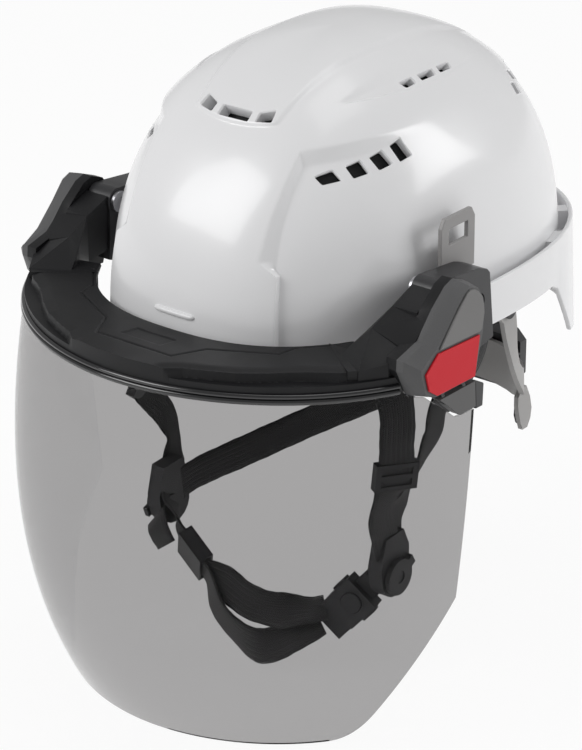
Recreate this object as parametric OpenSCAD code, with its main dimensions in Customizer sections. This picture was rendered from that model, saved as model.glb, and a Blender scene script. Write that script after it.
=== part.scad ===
// Vented climbing-style safety helmet with a tilting face shield.
// Frame: +X is the wearer's left, -Y is the face side, +Z is up.
// The origin is where the head's crown line meets the level of the shell's side rim.

/* [Shell] */
// Outer width of the shell at its rim
shell_w = 202; // [190:1:214]
// Reach of the shell in front of its plan centre
shell_front = 139; // [132:1:144]
// Reach of the shell behind its plan centre
shell_rear = 143; // [136:1:150]
// Height of the crown above the rim
shell_h = 141.5; // [134:0.5:150]
// Wall thickness at the recessed side panels
shell_wall = 2.2; // [1.8:0.1:2.8]
// Depth of the recessed side panels
panel_depth = 4; // [2:0.5:5]
// Height of the raised centre crest
crest_rise = 1.6; // [1:0.1:2.5]
// Depth of the strengthening rib on the brow
brow_rib_r = 1.6; // [1.2:0.1:2.2]

/* [Rain gutter] */
// Distance from the shell to the gutter's outer face
gutter_out = 7; // [6:0.5:9]
// Thickness of the gutter's outer wall
gutter_wall = 2.5; // [2:0.1:3.2]
// Height of the gutter's rim above the shell's rim
gutter_top = 21; // [17:1:24]
// Depth of the nape skirt below the shell's rim
skirt_drop = 46; // [38:1:52]

/* [Liner and headband] */
// Thickness of the foam liner
liner_t = 13; // [10:1:16]
// Gap between shell and liner
liner_gap = 0.6; // [0.4:0.1:1]
// Half width of the headband
band_half_w = 76; // [72:1:78]
// Reach of the headband from its centre, front and back
band_half_l = 98; // [94:1:101]
// Height of the headband
band_h = 26; // [22:1:30]
// Thickness of the headband
band_t = 1.6; // [1.2:0.1:2]
// Thickness of the brow pad
brow_pad_t = 5; // [3:0.5:6]

/* [Face shield] */
// How far the shield's side edges stand out from the shell
lens_overhang = 36; // [34:0.5:38]
// Reach of the shield's top edge in front of its side edges
lens_reach = 126; // [122:1:130]
// Height of the shield at its middle
lens_h = 207; // [180:1:215]
// How far the shield bows forward at half height
lens_bow = 28; // [15:1:32]
// Thickness of the shield
lens_t = 2; // [1.5:0.1:2.5]
// Height of the shield's side edges below its top
lens_edge_h = 138; // [120:1:150]

/* [Brow guard] */
// Gap between the brow guard and the shell
guard_gap = 4; // [3.5:0.1:5]
// Thickness of the brow guard's lower flange
guard_flange_t = 4; // [3:0.5:5]
// Height of the brow guard's platform above the flange
guard_step = 5.5; // [3:0.5:6]
// Height of the seal that carries the shield
seal_h = 6; // [5:0.5:7]
// Depth of the seal from front to back
seal_d = 5; // [4:0.5:7]
// Thickness of the side arms
arm_t = 6.2; // [5:0.2:7]

/* [Pivots] */
// Distance of the tilt axis behind the plan origin
pivot_y = -62; // [-64:0.5:-60]
// Height of the tilt axis
pivot_z = 37; // [36:0.5:38]
// Radius of the pivot bolts
pivot_r = 4; // [3:0.25:5]
// Running clearance of the pivot bolts
pivot_clear = 0.06; // [0.03:0.01:0.1]
// Room from the fixed blocks out to the shield's side edges
block_room = 18; // [17:0.5:19]
// Gap between the fixed blocks and the tilting arms
side_gap = 0.4; // [0.3:0.1:0.6]
// How far the side pods stand out past the shield's side edges
pod_proud = 0.7; // [0.2:0.1:1.5]
// Wall thickness of the pod covers
pod_wall = 2.4; // [2:0.1:3]
// Thickness of the pod inserts and badges
insert_t = 1.2; // [1:0.1:1.6]

/* [Accessory clips] */
// Width of the accessory clips
clip_w = 30; // [28:0.5:32]
// Height of the accessory clips above the mount blocks' floor
clip_top = 67; // [65:1:70]
// Thickness of the accessory clips
clip_t = 2.6; // [2:0.1:3]
// Width of the clip window
window_w = 17; // [14:0.5:19]
// Height of the clip window
window_h = 9; // [7:0.5:11]

/* [Nape ratchet] */
// Half width of the ratchet housing
housing_half_w = 49; // [46:1:52]
// Height of the ratchet housing
housing_h = 33; // [30:1:36]
// Diameter of the adjusting knob
knob_d = 34; // [30:1:40]
// Length of the adjusting knob
knob_l = 12; // [10:1:14]
// Teeth on the pinion
pinion_teeth = 12; // [10:1:13]
// Gear module of the pinion and racks
gear_module = 1; // [0.9:0.05:1]

/* [Chin strap] */
// Width of the webbing
web_w = 20; // [18:0.5:22]
// Thickness of the webbing
web_t = 1.8; // [1.4:0.1:2.2]
// Diameter of the locking levers
cam_d = 21; // [18:0.5:23]
// Travel of the buckle's release button
button_travel = 2.5; // [2:0.1:3]

/* [Hidden] */

eps = 0.01;
plan_shift = 3;                    // the plan centre lies this far behind the origin
shell_half_w = shell_w / 2;
lens_half_w = shell_half_w + lens_overhang;
block_x = lens_half_w - block_room;
pod_x = lens_half_w + pod_proud;
nape_shift = shell_rear - 143;     // the nape parts move with the shell's rear
wide = shell_half_w / 101;         // the strap routes spread with the shell's width
function spread(r) = [for (p = r) [p[0] * wide, p[1], p[2]]];
plan_power = 0.8;                  // squareness of the plan, as the power of its sine and cosine
rise_power = 0.81;                 // squareness of the shell's upright sections
brow_round = 0.14;                 // how much rounder the section over the brow is
function spow(x, e) = sign(x) * pow(abs(x), e);
function clamp01(x) = min(1, max(0, x));
function smooth(x, a, b) = let(t = clamp01((x - a) / (b - a))) t * t * (3 - 2 * t);
function unit(v) = v / norm(v);
function mix(a, b, t) = a * (1 - t) + b * t;

// Plan of the shell at azimuth u (0 at the front, 90 at the wearer's left), pushed out by off
function plan_pt(u, off = 0) = [
    (shell_half_w + off) * spow(sin(u), plan_power),
    plan_shift - ((cos(u) > 0 ? shell_front : shell_rear) + off) * spow(cos(u), plan_power)
];
function plan_outline(off, n = 96) = [for (i = [0:n - 1]) plan_pt(360 * i / n, off)];
// Point of the dome at azimuth u and latitude v
function dome_pt(u, v, off = 0) = let(
    e = rise_power + brow_round * pow(max(0, cos(u)), 6),
    c = pow(cos(v), e),
    p = plan_pt(u, off))
    [p[0] * c, plan_shift + (p[1] - plan_shift) * c, (shell_h + off) * pow(sin(v), e)];

// Relief of the shell: recessed side panels behind a chamfer, and a crest along the crown
panel_low_u = 28.8;
panel_low_v = 18.5;
panel_top_v = 46.3;
function panel_start(v) = v < panel_low_v ? panel_low_u : 22.5 + 0.4 * (v - 20.5);
function panel_ramp(v) = v < panel_low_v ? 2 : 5 - 0.12 * (v - 20);
function relief(u, v) = let(
    a = abs(u > 180 ? u - 360 : u),
    p = dome_pt(u, v),
    crest_w = 25 + 8 * smooth(p[1], -82, -20),
    side = smooth(a, panel_start(v), panel_start(v) + panel_ramp(v))
        * (1 - smooth(v, panel_top_v - 3.3, panel_top_v)) * (1 - smooth(a, 70, 105)),
    crest = (1 - smooth(abs(p[0]), crest_w, crest_w + 3)) * smooth(v, 50.3, 52)
        * (1 - smooth(p[1], 40, 95)))
    crest_rise * crest - panel_depth * side;

// Closed skin over rings of equal length, capped at both ends. Concave end rings need hubs: a point inside
// the first ring and one inside the last that see every edge, so each cap is a fan that cannot fold over.
module skin(rings, hubs = []) {
    n = len(rings[0]);
    m = len(rings);
    all = n * m;
    flat = len(hubs) == 0;
    points = concat([for (r = rings) for (p = r) p], hubs);
    faces = concat(
        flat ? [[for (i = [0:n - 1]) i]] : [for (i = [0:n - 1]) [all, i, (i + 1) % n]],
        [for (j = [0:m - 2]) for (i = [0:n - 1]) let(k = (i + 1) % n)
            [j * n + i, (j + 1) * n + i, (j + 1) * n + k]],
        [for (j = [0:m - 2]) for (i = [0:n - 1]) let(k = (i + 1) % n)
            [j * n + i, (j + 1) * n + k, j * n + k]],
        flat ? [[for (i = [n - 1:-1:0]) (m - 1) * n + i]]
            : [for (i = [0:n - 1]) [all + 1, (m - 1) * n + (i + 1) % n, (m - 1) * n + i]]);
    polyhedron(points, faces, convexity = 6);
}

// Catmull-Rom point at t along a list of points
function spline(p, t) = let(
    n = len(p), i = min(n - 2, floor(t)), f = t - i,
    a = p[max(0, i - 1)], b = p[i], c = p[i + 1], d = p[min(n - 1, i + 2)])
    0.5 * ((2 * b) + (c - a) * f + (2 * a - 5 * b + 4 * c - d) * f * f
        + (3 * b - a - 3 * c + d) * f * f * f);
// Flat band swept along route points, with a face normal and a width at each point
module web(route, normals, widths, thick, steps = 3) {
    n = len(route);
    m = (n - 1) * steps;
    rings = [for (j = [0:m]) let(
        t = j / steps,
        p = spline(route, t),
        d = unit(spline(route, min(n - 1, t + 0.05)) - spline(route, max(0, t - 0.05))),
        i = min(n - 2, floor(t)),
        q = mix(normals[i], normals[i + 1], t - i),
        side = unit(cross(d, q)),
        face = unit(cross(side, d)),
        w = mix(widths[i], widths[i + 1], t - i) / 2)
        [p + side * w - face * thick / 2, p - side * w - face * thick / 2,
         p - side * w + face * thick / 2, p + side * w + face * thick / 2]];
    skin(rings);
}
function same(v, n) = [for (i = [0:n - 1]) v];

module both_sides() {
    children();
    mirror([1, 0, 0]) children();
}
// Plate with a y-z outline, from x = a to x = b
module side_plate(outline, a, b) {
    translate([a, 0, 0]) rotate([90, 0, 90]) linear_extrude(b - a) polygon(outline);
}
module rod_x(a, b, r, y, z, fn = 48) {
    translate([a, y, z]) rotate([0, 90, 0]) cylinder(r = r, h = b - a, $fn = fn);
}

// ---------------------------------------------------------------- shell
dome_cols = 86;
dome_rows = 23;
core_cols = 52;
core_rows = 13;
module dome(off, cols, rows, embossed) {
    top_v = 86;
    rings = concat(
        [[for (i = [0:cols - 1]) let(p = plan_pt(360 * i / cols, off)) [p[0], p[1], -80]]],
        [for (j = [0:rows]) let(v = top_v * j / rows)
            [for (i = [0:cols - 1]) let(u = 360 * i / cols)
                dome_pt(u, v, off + (embossed ? relief(u, v) : 0))]]);
    skin(rings);
}
inner_off = -(shell_wall + panel_depth);

// Quarter slots as four corners of azimuth and latitude
brow_vents = [
    [[-16.4, 52.6], [-16.7, 55.8], [-9.6, 54.6], [-9.2, 52.2]],
    [[-5.2, 51.9], [-5.5, 54.6], [5.5, 54.6], [5.2, 51.9]],
    [[9.2, 52.2], [9.6, 54.6], [16.7, 55.8], [16.4, 52.6]]
];
side_vents = [
    [[39.1, 39.1], [45.8, 40.2], [49.2, 37.2], [42.2, 36.8]],
    [[50.8, 40.6], [56.1, 41.6], [59.2, 37.7], [53.7, 37.2]],
    [[59.9, 41.8], [64.5, 42.8], [67.8, 38.5], [63.2, 37.8]],
    [[67.8, 43.4], [71.8, 44.4], [74.7, 39.1], [70.7, 38.4]],
    [[80.4, 60.6], [86.4, 60.9], [86.8, 58.6], [82.4, 58.3]],
    [[89.2, 60.9], [94.4, 60.9], [94.0, 58.6], [89.4, 58.6]],
    [[97.4, 60.9], [104.2, 60.4], [102.6, 58.3], [96.6, 58.6]],
    [[139.6, 47.6], [144.2, 46.2], [141.8, 43.6], [137.6, 45.0]],
    [[131.4, 46.4], [135.6, 45.2], [133.4, 42.4], [129.4, 43.6]],
    [[124.4, 43.6], [128.4, 42.6], [126.2, 39.4], [122.4, 40.4]]
];
module vent_cut(corners, turn = 1) {
    hull() skin([for (off = [inner_off - 2, 4])
        [for (c = corners) dome_pt(turn * c[0], c[1], off)]]);
}
// Side views of everything below the shell's lower edge, and below the gutter wall and nape skirt
rim_cut = [[-220, 0], [-90, -1], [8, -4], [66, -5], [220, -9], [220, -120], [-220, -120]];
skirt_cut = [[-220, 0], [-90, -1], [8, -4], [66, -5], [74, -9], [97, -44], [108, -skirt_drop],
    [220, -skirt_drop], [220, -120], [-220, -120]];
module ring_wall(outer, inner, low, high) {
    translate([0, 0, low]) linear_extrude(high - low) difference() {
        polygon(plan_outline(outer));
        polygon(plan_outline(inner));
    }
}
gutter_start = -12;
gutter_floor = [5, 8];
module gutter() {
    difference() {
        intersection() {
        union() {
            ring_wall(gutter_out, gutter_out - gutter_wall, -60, gutter_top);
            ring_wall(gutter_out - 1, -1, gutter_floor[0], gutter_floor[1]);
            intersection() {
                ring_wall(gutter_out - 1, -1, gutter_floor[0] + 1, gutter_top - 2);
                union() {
                    for (y = [gutter_start, 50, 86])
                        translate([-150, y, 0]) cube([300, y == 50 ? 18 : 10, 40]);
                    for (s = [-1, 1]) translate([s * 30 - 6, 100, 0]) cube([12, 80, 40]);
                }
            }
        }
        translate([-150, gutter_start, -80]) cube([300, 220, 140]);
        }
        side_plate(skirt_cut, -150, 150);
    }
}
boss_gap = 1.2;                     // room round the boss inside the clip's window
standoff_r = 7;
module shell() {
    color("whitesmoke") difference() {
        union() {
            difference() {
                dome(0, dome_cols, dome_rows, true);
                side_plate(rim_cut, -150, 150);
            }
            gutter();
            hull() {
                translate(dome_pt(-5.2, 7.6)) sphere(brow_rib_r, $fn = 12);
                translate(dome_pt(5.2, 7.6)) sphere(brow_rib_r, $fn = 12);
            }
            both_sides() {
                translate([shell_half_w - 14, window_y - window_w / 2 + boss_gap, window_z + boss_gap])
                    cube([clip_x - shell_half_w + 12.4, window_w - 2 * boss_gap, window_h - 2 * boss_gap]);
                for (p = screw_at)
                    rod_x(shell_half_w - 16, block_in, standoff_r, p[0], p[1], 28);
            }
        }
        dome(inner_off, core_cols, core_rows, false);
        for (c = brow_vents) vent_cut(c);
        for (c = side_vents) vent_cut(c, 1);
        for (c = side_vents) vent_cut(c, -1);
        both_sides() for (p = screw_at)
            rod_x(block_in - 6, block_in + 1, screw_r, p[0], p[1], 32);
    }
}

// ---------------------------------------------------------------- liner and headband
liner_out = inner_off - liner_gap;
liner_in = liner_out - liner_t;
liner_rim = 5;
liner_cols = 48;
liner_rows = 11;
module bowl(outer, inner, rim, cols, rows) {
    top_v = 86;
    function row(off, j) = [for (i = [0:cols - 1]) let(u = 360 * i / cols,
        v = top_v * j / rows, p = dome_pt(u, v, off)) [p[0], p[1], max(rim, p[2])]];
    n = cols;
    m = rows + 1;
    points = concat([for (j = [0:rows]) for (p = row(outer, j)) p],
        [for (j = [0:rows]) for (p = row(inner, j)) p]);
    faces = concat(
        [for (j = [0:m - 2]) for (i = [0:n - 1]) let(k = (i + 1) % n)
            [j * n + i, (j + 1) * n + i, (j + 1) * n + k, j * n + k]],
        [[for (i = [n - 1:-1:0]) (m - 1) * n + i]],
        [for (j = [0:m - 2]) for (i = [0:n - 1]) let(k = (i + 1) % n, a = m * n)
            [a + j * n + i, a + j * n + k, a + (j + 1) * n + k, a + (j + 1) * n + i]],
        [[for (i = [0:n - 1]) m * n + (m - 1) * n + i]],
        [for (i = [0:n - 1]) let(k = (i + 1) % n, a = m * n) [i, k, a + k, a + i]]);
    polyhedron(points, faces, convexity = 6);
}
module foam_liner() {
    color("#202022") bowl(liner_out, liner_in, liner_rim, liner_cols, liner_rows);
}

band_y = 2;
band_low = -band_h + 6;
function band_pt(u, off) = [(band_half_w + off) * sin(u), band_y - (band_half_l + off) * cos(u)];
band_end = 118;
module band_arc(outer, inner, from, to, n) {
    polygon(concat([for (i = [0:n]) band_pt(from + (to - from) * i / n, outer)],
        [for (i = [n:-1:0]) band_pt(from + (to - from) * i / n, inner)]));
}
// Hangers run from the band out to the liner's lower edge
hanger_y = [-42, -10];
liner_mid = shell_half_w - 12;
liner_front = shell_front - 14;
module headband() {
    color("#2b2b2d") {
        translate([0, 0, band_low]) linear_extrude(band_h)
            band_arc(0, -band_t, -band_end, band_end, 64);
        both_sides() for (y = hanger_y) {
            x = band_half_w * sqrt(1 - pow((y + 6 - band_y) / band_half_l, 2)) - 1;
            translate([x, y, -5]) cube([liner_mid - x, 12, 4]);
            translate([liner_mid - 7, y, -5]) cube([7, 12, 5 + liner_rim]);
        }
        translate([-8, -liner_front, -5]) cube([16, liner_front - band_half_l + band_y - 0.4, 4]);
        translate([-8, -liner_front, -5]) cube([16, 7, 5 + liner_rim]);
    }
}
module brow_pad() {
    color("#3a3a3c") translate([0, 0, band_low + 2]) linear_extrude(band_h - 4)
        band_arc(-band_t - 0.3, -band_t - 0.3 - brow_pad_t, -52, 52, 32);
}

// ---------------------------------------------------------------- chin strap routes
// Routes run along the middle of the webbing, one list for each length of webbing
front_route_l = spread([[79.5, -60, -9], [85, -59.5, -25], [87.5, -58, -42], [86.5, -57, -60],
    [84, -54.5, -78], [80, -57, -92], [76.6, -57, -104], [74.6, -52, -117], [73.6, -47, -131]]);
rear_route_l = spread([[86.5, 19, -9], [89, 14, -24], [90, -3, -38], [88.5, -21, -50], [86, -23, -65],
    [82, -29, -82], [77.4, -35, -96], [72.4, -38.5, -109], [69.4, -39, -121], [69.2, -38, -132]]);
front_route_r = spread([[-78, -62, -9], [-83, -71, -30], [-85.4, -73, -50], [-86, -67, -68],
    [-86.4, -52, -86], [-86, -43, -100], [-83.4, -42, -111], [-79.4, -47, -120], [-77.6, -52, -130]]);
rear_route_r = spread([[5, 99.6, -93], [-5, 98.6, -95], [-13, 88, -99], [-19, 68, -105], [-37, 29, -113],
    [-56, -10, -123], [-67.6, -37, -129], [-71.4, -52, -133]]);
keeper_at = [-46.6 * wide, -67, -162.4];
keeper_dir = unit([-0.843, 0.15, 0.517]);
keeper_face = [-0.35, -0.9, -0.3];
chin_route = spread([[41, -60, -171.5], [33, -67, -173], [16, -73.5, -175.5], [-1.2, -76, -174.6],
    [-18.8, -74, -170.6]]);
chin_rise = spread([[-63, -63.6, -148], [-69.6, -61, -139.6], [-74.8, -57, -131]]);
chin_line = concat(chin_route, [for (k = [-14, 0, 14]) keeper_at + k * keeper_dir], chin_rise);
return_route = concat([for (k = [-4, -16]) keeper_at + k * keeper_dir + [0, -2.2 + k / 30, -0.5 + k / 20]],
    spread([[-22, -78.6, -184], [-7, -81, -192.5], [12, -81.6, -196.2], [30, -74, -187], [40, -63, -179.5]]));
tab_route = spread([[-72, -71.8, -146], [-67, -77, -147], [-61.5, -80, -151], [-57.5, -80, -156]]);
module strap_fl() {
    web(front_route_l, concat([[1, -0.25, 0]], same([0.8, -0.5, 0], 4), same([1, -0.1, 0], 4)),
        same(web_w, 9), web_t);
}
module strap_rl() {
    web(rear_route_l, concat(same([1, 0.1, 0.1], 5), same([0.93, 0.35, 0], 2), same([1, 0, 0], 3)),
        same(web_w, 10), web_t);
}
module strap_fr() {
    web(front_route_r, concat(same([-1, -0.37, 0], 7), same([-1, 0, 0], 2)), same(web_w, 9), web_t);
}
module strap_rr() {
    web(rear_route_r, concat([[0, 1, 0], [-0.3, 1, 0]], same([-0.9, 0.42, 0], 4), same([-1, 0.1, 0], 2)),
        same(web_w, 8), web_t);
}
module strap_chin() {
    web(chin_line, concat([[0.1, -0.2, 1], [0, -0.4, 1]], same([-0.1, -0.9, 0.3], 3),
        same(keeper_face, 3), [[-0.7, -0.7, -0.1], [-1, -0.2, 0], [-1, 0, 0]]), same(web_w, 11), web_t);
}
module strap_return() {
    web(return_route, concat(same(keeper_face, 2), [[-0.1, -0.95, -0.3], [-0.1, -0.95, -0.2],
        [-0.1, -0.95, 0.2], [0, -0.6, 0.8], [0.1, -0.2, 1]]), same(web_w, 7), web_t);
}
module strap_tail() { web(tab_route, same([-0.4, -0.8, 0.6], 4), same(web_w - 5, 4), web_t); }

module front_strap_left() { color("#1d1d1f") strap_fl(); }
module rear_strap_left() { color("#1d1d1f") strap_rl(); }
module front_strap_right() { color("#1d1d1f") strap_fr(); }
module rear_strap_right() { color("#1d1d1f") strap_rr(); }
module chin_strap() { color("#1d1d1f") strap_chin(); }
module chin_return() { color("#1d1d1f") strap_return(); }
module strap_tab() { color("#1d1d1f") strap_tail(); }

// Anchors hang under the liner and hold the tops of the straps
module anchor(x, y, s) {
    translate([s > 0 ? x - 3 : -x - 3, y - 13, -17]) cube([6, 26, 17 + liner_rim]);
}
module strap_anchors() {
    color("#2b2b2d") difference() {
        union() {
            anchor(79.5 * wide, -60, 1);
            anchor(86 * wide, 18, 1);
            anchor(78 * wide, -62, -1);
        }
        strap_fl();
        strap_rl();
        strap_fr();
    }
}

// Ladder adjusters: a frame with two windows and a bar the webbing wraps
module adjuster_frame() {
    difference() {
        translate([-2.6, -web_w / 2 - 2.4, -8]) cube([5.2, web_w + 4.8, 16]);
        for (z = [-5.4, 1.4]) translate([1.2, -web_w / 2 + 1, z]) cube([3, web_w - 2, 4]);
    }
}
module adjuster_left() {
    color("#202022") difference() {
        translate([83.9 * wide, -54.6, -79]) rotate([-4, 0, 0]) rotate([0, 7, -30]) adjuster_frame();
        strap_fl();
    }
}
module adjuster_right() {
    color("#202022") difference() {
        translate([-86.2 * wide, -66, -70]) rotate([-36, 0, 0]) rotate([0, -2, 18]) rotate([0, 0, 180])
            adjuster_frame();
        strap_fr();
    }
}
// Yokes join the front and rear webbing above each ear lobe; the cam lever turns on them
cam_y = [-43, -57];
cam_z = [-147, -142];
yoke_x = [67.4 * wide, 70.2 * wide];
yoke_t = 9.2;
cam_stub = 3.5;
function yoke_outline(y, z) = concat([[y - 9, z + 25], [y + 7, z + 26], [y + 12, z + 15]],
    [for (a = [-10:-20:-170]) [y + 12.5 * cos(a), z + 12.5 * sin(a)]], [[y - 13.5, z + 8]]);
module yoke_left() {
    color("#202022") difference() {
        union() {
            side_plate(yoke_outline(cam_y[0], cam_z[0]), yoke_x[0], yoke_x[0] + yoke_t);
            rod_x(yoke_x[0] + yoke_t - eps, yoke_x[0] + yoke_t + 2.6, cam_stub, cam_y[0], cam_z[0], 40);
            at_buckle() translate([-16, -2.5, -7]) cube([8, 5, 14]);
        }
        strap_fl();
        strap_rl();
    }
}
module yoke_right() {
    color("#202022") difference() {
        union() {
            side_plate(yoke_outline(cam_y[1], cam_z[1]), -yoke_x[1] - yoke_t, -yoke_x[1]);
            rod_x(-yoke_x[1] - yoke_t - 2.6, -yoke_x[1] - yoke_t + eps, cam_stub, cam_y[1], cam_z[1], 40);
            rod_x(-yoke_x[1] - eps, -yoke_x[1] + 1.2, 6.5, cam_y[1] - 4, cam_z[1], 40);
        }
        strap_fr();
        strap_rr();
        strap_chin();
    }
}
module cam(x0, x1, y, z, turn) {
    difference() {
        union() {
            rod_x(x0, x1, cam_d / 2, y, z, 64);
            translate([0, y, z]) rotate([turn, 0, 0]) translate([x0, 0, -3])
                cube([x1 - x0, cam_d / 2 + 3.5, 6]);
        }
        rod_x(x0 - 1, x1 + 1, cam_stub + pivot_clear, y, z, 40);
    }
}
cam_t = 3;
module cam_lever_left() {
    color("#2a2a2c") cam(yoke_x[0] + yoke_t + 0.3, yoke_x[0] + yoke_t + 0.3 + cam_t, cam_y[0], cam_z[0], 30);
}
module cam_lever_right() {
    color("#2a2a2c") cam(-yoke_x[1] - yoke_t - 0.3 - cam_t, -yoke_x[1] - yoke_t - 0.3, cam_y[1], cam_z[1], 200);
}

// Buckle: body on the left yoke, tongue on the chin webbing, button in the body's face
buckle_at = [55.5 * wide, -51, -164];
buckle_axis = unit([-0.60, -0.28, -0.75]);
buckle_out = unit(cross(cross(buckle_axis, [0.45, -0.85, 0.28]), buckle_axis));
buckle_side = cross(buckle_axis, buckle_out);
// The buckle's own x runs along it toward the chin, and its y points out of its face
module at_buckle() {
    multmatrix([for (i = [0:2]) [buckle_axis[i], buckle_out[i], buckle_side[i], buckle_at[i]]]) children();
}
button_r = 6;
button_face = 7.4;
module buckle_body() {
    color("#202022") at_buckle() difference() {
        union() {
            translate([-8, -4.5, -11]) cube([20, 4.5 + button_face, 22]);
            translate([-4, -3.5, -12.5]) cube([9, 7, 25]);
        }
        translate([-1, -2.1, -8.1]) cube([14, 4.2, 16.2]);
        translate([1, 1, 0]) rotate([-90, 0, 0]) cylinder(r = button_r + 0.3, h = 12, $fn = 48);
    }
}
module buckle_tongue() {
    color("#202022") difference() {
        at_buckle() union() {
            translate([-0.4, -1.8, -7.8]) cube([13.4, 3.6, 15.6]);
            translate([12.4, -3.2, -10.5]) cube([11, 8.4, 21]);
        }
        strap_chin();
        strap_return();
    }
}
module release_button() {
    color("#2e2e30") at_buckle() translate([1, 2.4 + button_travel, 0]) rotate([-90, 0, 0])
        cylinder(r = button_r, h = 3.6, $fn = 48);
}
// Keeper that slides along the webbing beside the right yoke
keeper_l = 22;
module keeper_sleeve() {
    color("#202022") difference() {
        keeper_block(keeper_l / 2, web_w + 4.6, 9);
        keeper_block(keeper_l / 2 + 1, web_w + 2, 6);
    }
}
// A flat block along the webbing at the keeper: half length, width and thickness
module keeper_block(l, w, t) {
    web([for (k = [-l, l]) keeper_at + k * keeper_dir + [0, -1, -0.3]], same(keeper_face, 2), same(w, 2), t, 1);
}

// ---------------------------------------------------------------- side hardware
clip_x = shell_half_w + 2;
block_in = clip_x;
clip_y = [-41.8, -41.8 + clip_w];
window_y = (clip_y[0] + clip_y[1]) / 2;
window_z = 51.5;
foot_z = 34;
module clip_left() {
    color("#8f9092") difference() {
        side_plate([[clip_y[0], foot_z], [clip_y[1], foot_z], [clip_y[1], clip_top - 5],
            [clip_y[1] - 3, clip_top], [clip_y[0] + 3, clip_top], [clip_y[0], clip_top - 5]],
            clip_x - clip_t, clip_x);
        side_plate([[window_y - window_w / 2, window_z], [window_y + window_w / 2, window_z],
            [window_y + window_w / 2, window_z + window_h],
            [window_y - window_w / 2, window_z + window_h]], clip_x - clip_t - 1, clip_x + 1);
    }
}
module clip_right() { mirror([1, 0, 0]) clip_left(); }

arm_in = block_x + side_gap;
arm_out = arm_in + arm_t;
barrel_r = 7.5;                     // round of the fixed block in front of the pivot
block_front = -70;
screw_at = [[-30, 22], [-50, 12]];
screw_r = 2.5;
block_side = [[block_front, 4], [-40, -6], [-16, -2], [-20.5, 36], [-23, 38.6], [-31, 41.5], [-48, 43.2],
    [-56, pivot_z + barrel_r - 0.4], [-62, pivot_z + barrel_r - 0.2], [-68.6, pivot_z], [-69, 20]];
module mount_block_left() {
    color("#1c1c1e") difference() {
        union() {
            side_plate(block_side, block_in, block_x);
            rod_x(block_in, block_x, barrel_r, pivot_y, pivot_z, 64);
        }
        rod_x(block_in - 1, block_x + 1, pivot_r, pivot_y, pivot_z);
        for (p = screw_at) {
            rod_x(block_in - 1, block_x + 1, screw_r, p[0], p[1], 32);
            rod_x(block_x - 3, block_x + 1, screw_r * 2, p[0], p[1], 32);
        }
    }
}
module mount_block_right() { mirror([1, 0, 0]) mount_block_left(); }
// Stand-offs from the shell to the blocks, and the screws through them
module block_screws() {
    color("#55565a") both_sides() for (p = screw_at) {
        rod_x(block_in - 5, block_x - 3 + eps, screw_r, p[0], p[1], 32);
        difference() {
            rod_x(block_x - 3, block_x - 0.6, screw_r * 1.8, p[0], p[1], 32);
            rod_x(block_x - 2, block_x, screw_r * 0.9, p[0], p[1], 6);
        }
    }
}
washer_t = 0.8;
module pivot_bolts() {
    color("#55565a") both_sides() {
        rod_x(block_in - 0.2, arm_out + washer_t + 0.3, pivot_r, pivot_y, pivot_z, 64);
        difference() {
            rod_x(block_in - 2.4, block_in, 6, pivot_y, pivot_z);
            rod_x(block_in - 3, block_in - 1.4, 2.6, pivot_y, pivot_z, 6);
        }
        rod_x(arm_out + washer_t + 0.3 - eps, arm_out + washer_t + 2.4, 5, pivot_y, pivot_z);
    }
}
module friction_washers() {
    color("#8f9092") both_sides() difference() {
        rod_x(arm_out, arm_out + washer_t, 5, pivot_y, pivot_z);
        rod_x(arm_out - 1, arm_out + 2, pivot_r + 0.15, pivot_y, pivot_z);
    }
}

// ---------------------------------------------------------------- face shield and brow guard
lens_y = -58;
lens_top = 1;
lens_span = lens_h + 4;
function lens_pt(q, z, off = 0) = let(
    t = (6 - z) / lens_span,
    a = lens_half_w + 0.4 - 6.5 * t - 12.6 * t * t + off,
    r = lens_reach - 2.4 - 12 * t + 4 * lens_bow * t * (1 - t) + off)
    [a * spow(sin(q), 1.02), lens_y - r * spow(cos(q), 1.02), z];
lens_low = 6 - lens_span - 1;
edge_low = lens_top - lens_edge_h + 0.5;
function soft_max(a, b, k) = let(h = clamp01(0.5 + 0.5 * (a - b) / k)) mix(b, a, h) + k * h * (1 - h);
function lens_bottom(q) = max(lens_low, min(soft_max(lens_low, edge_low - 134 * cos(q), 14), 
    edge_low + 16 * smooth(abs(q), 84, 90)));
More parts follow.
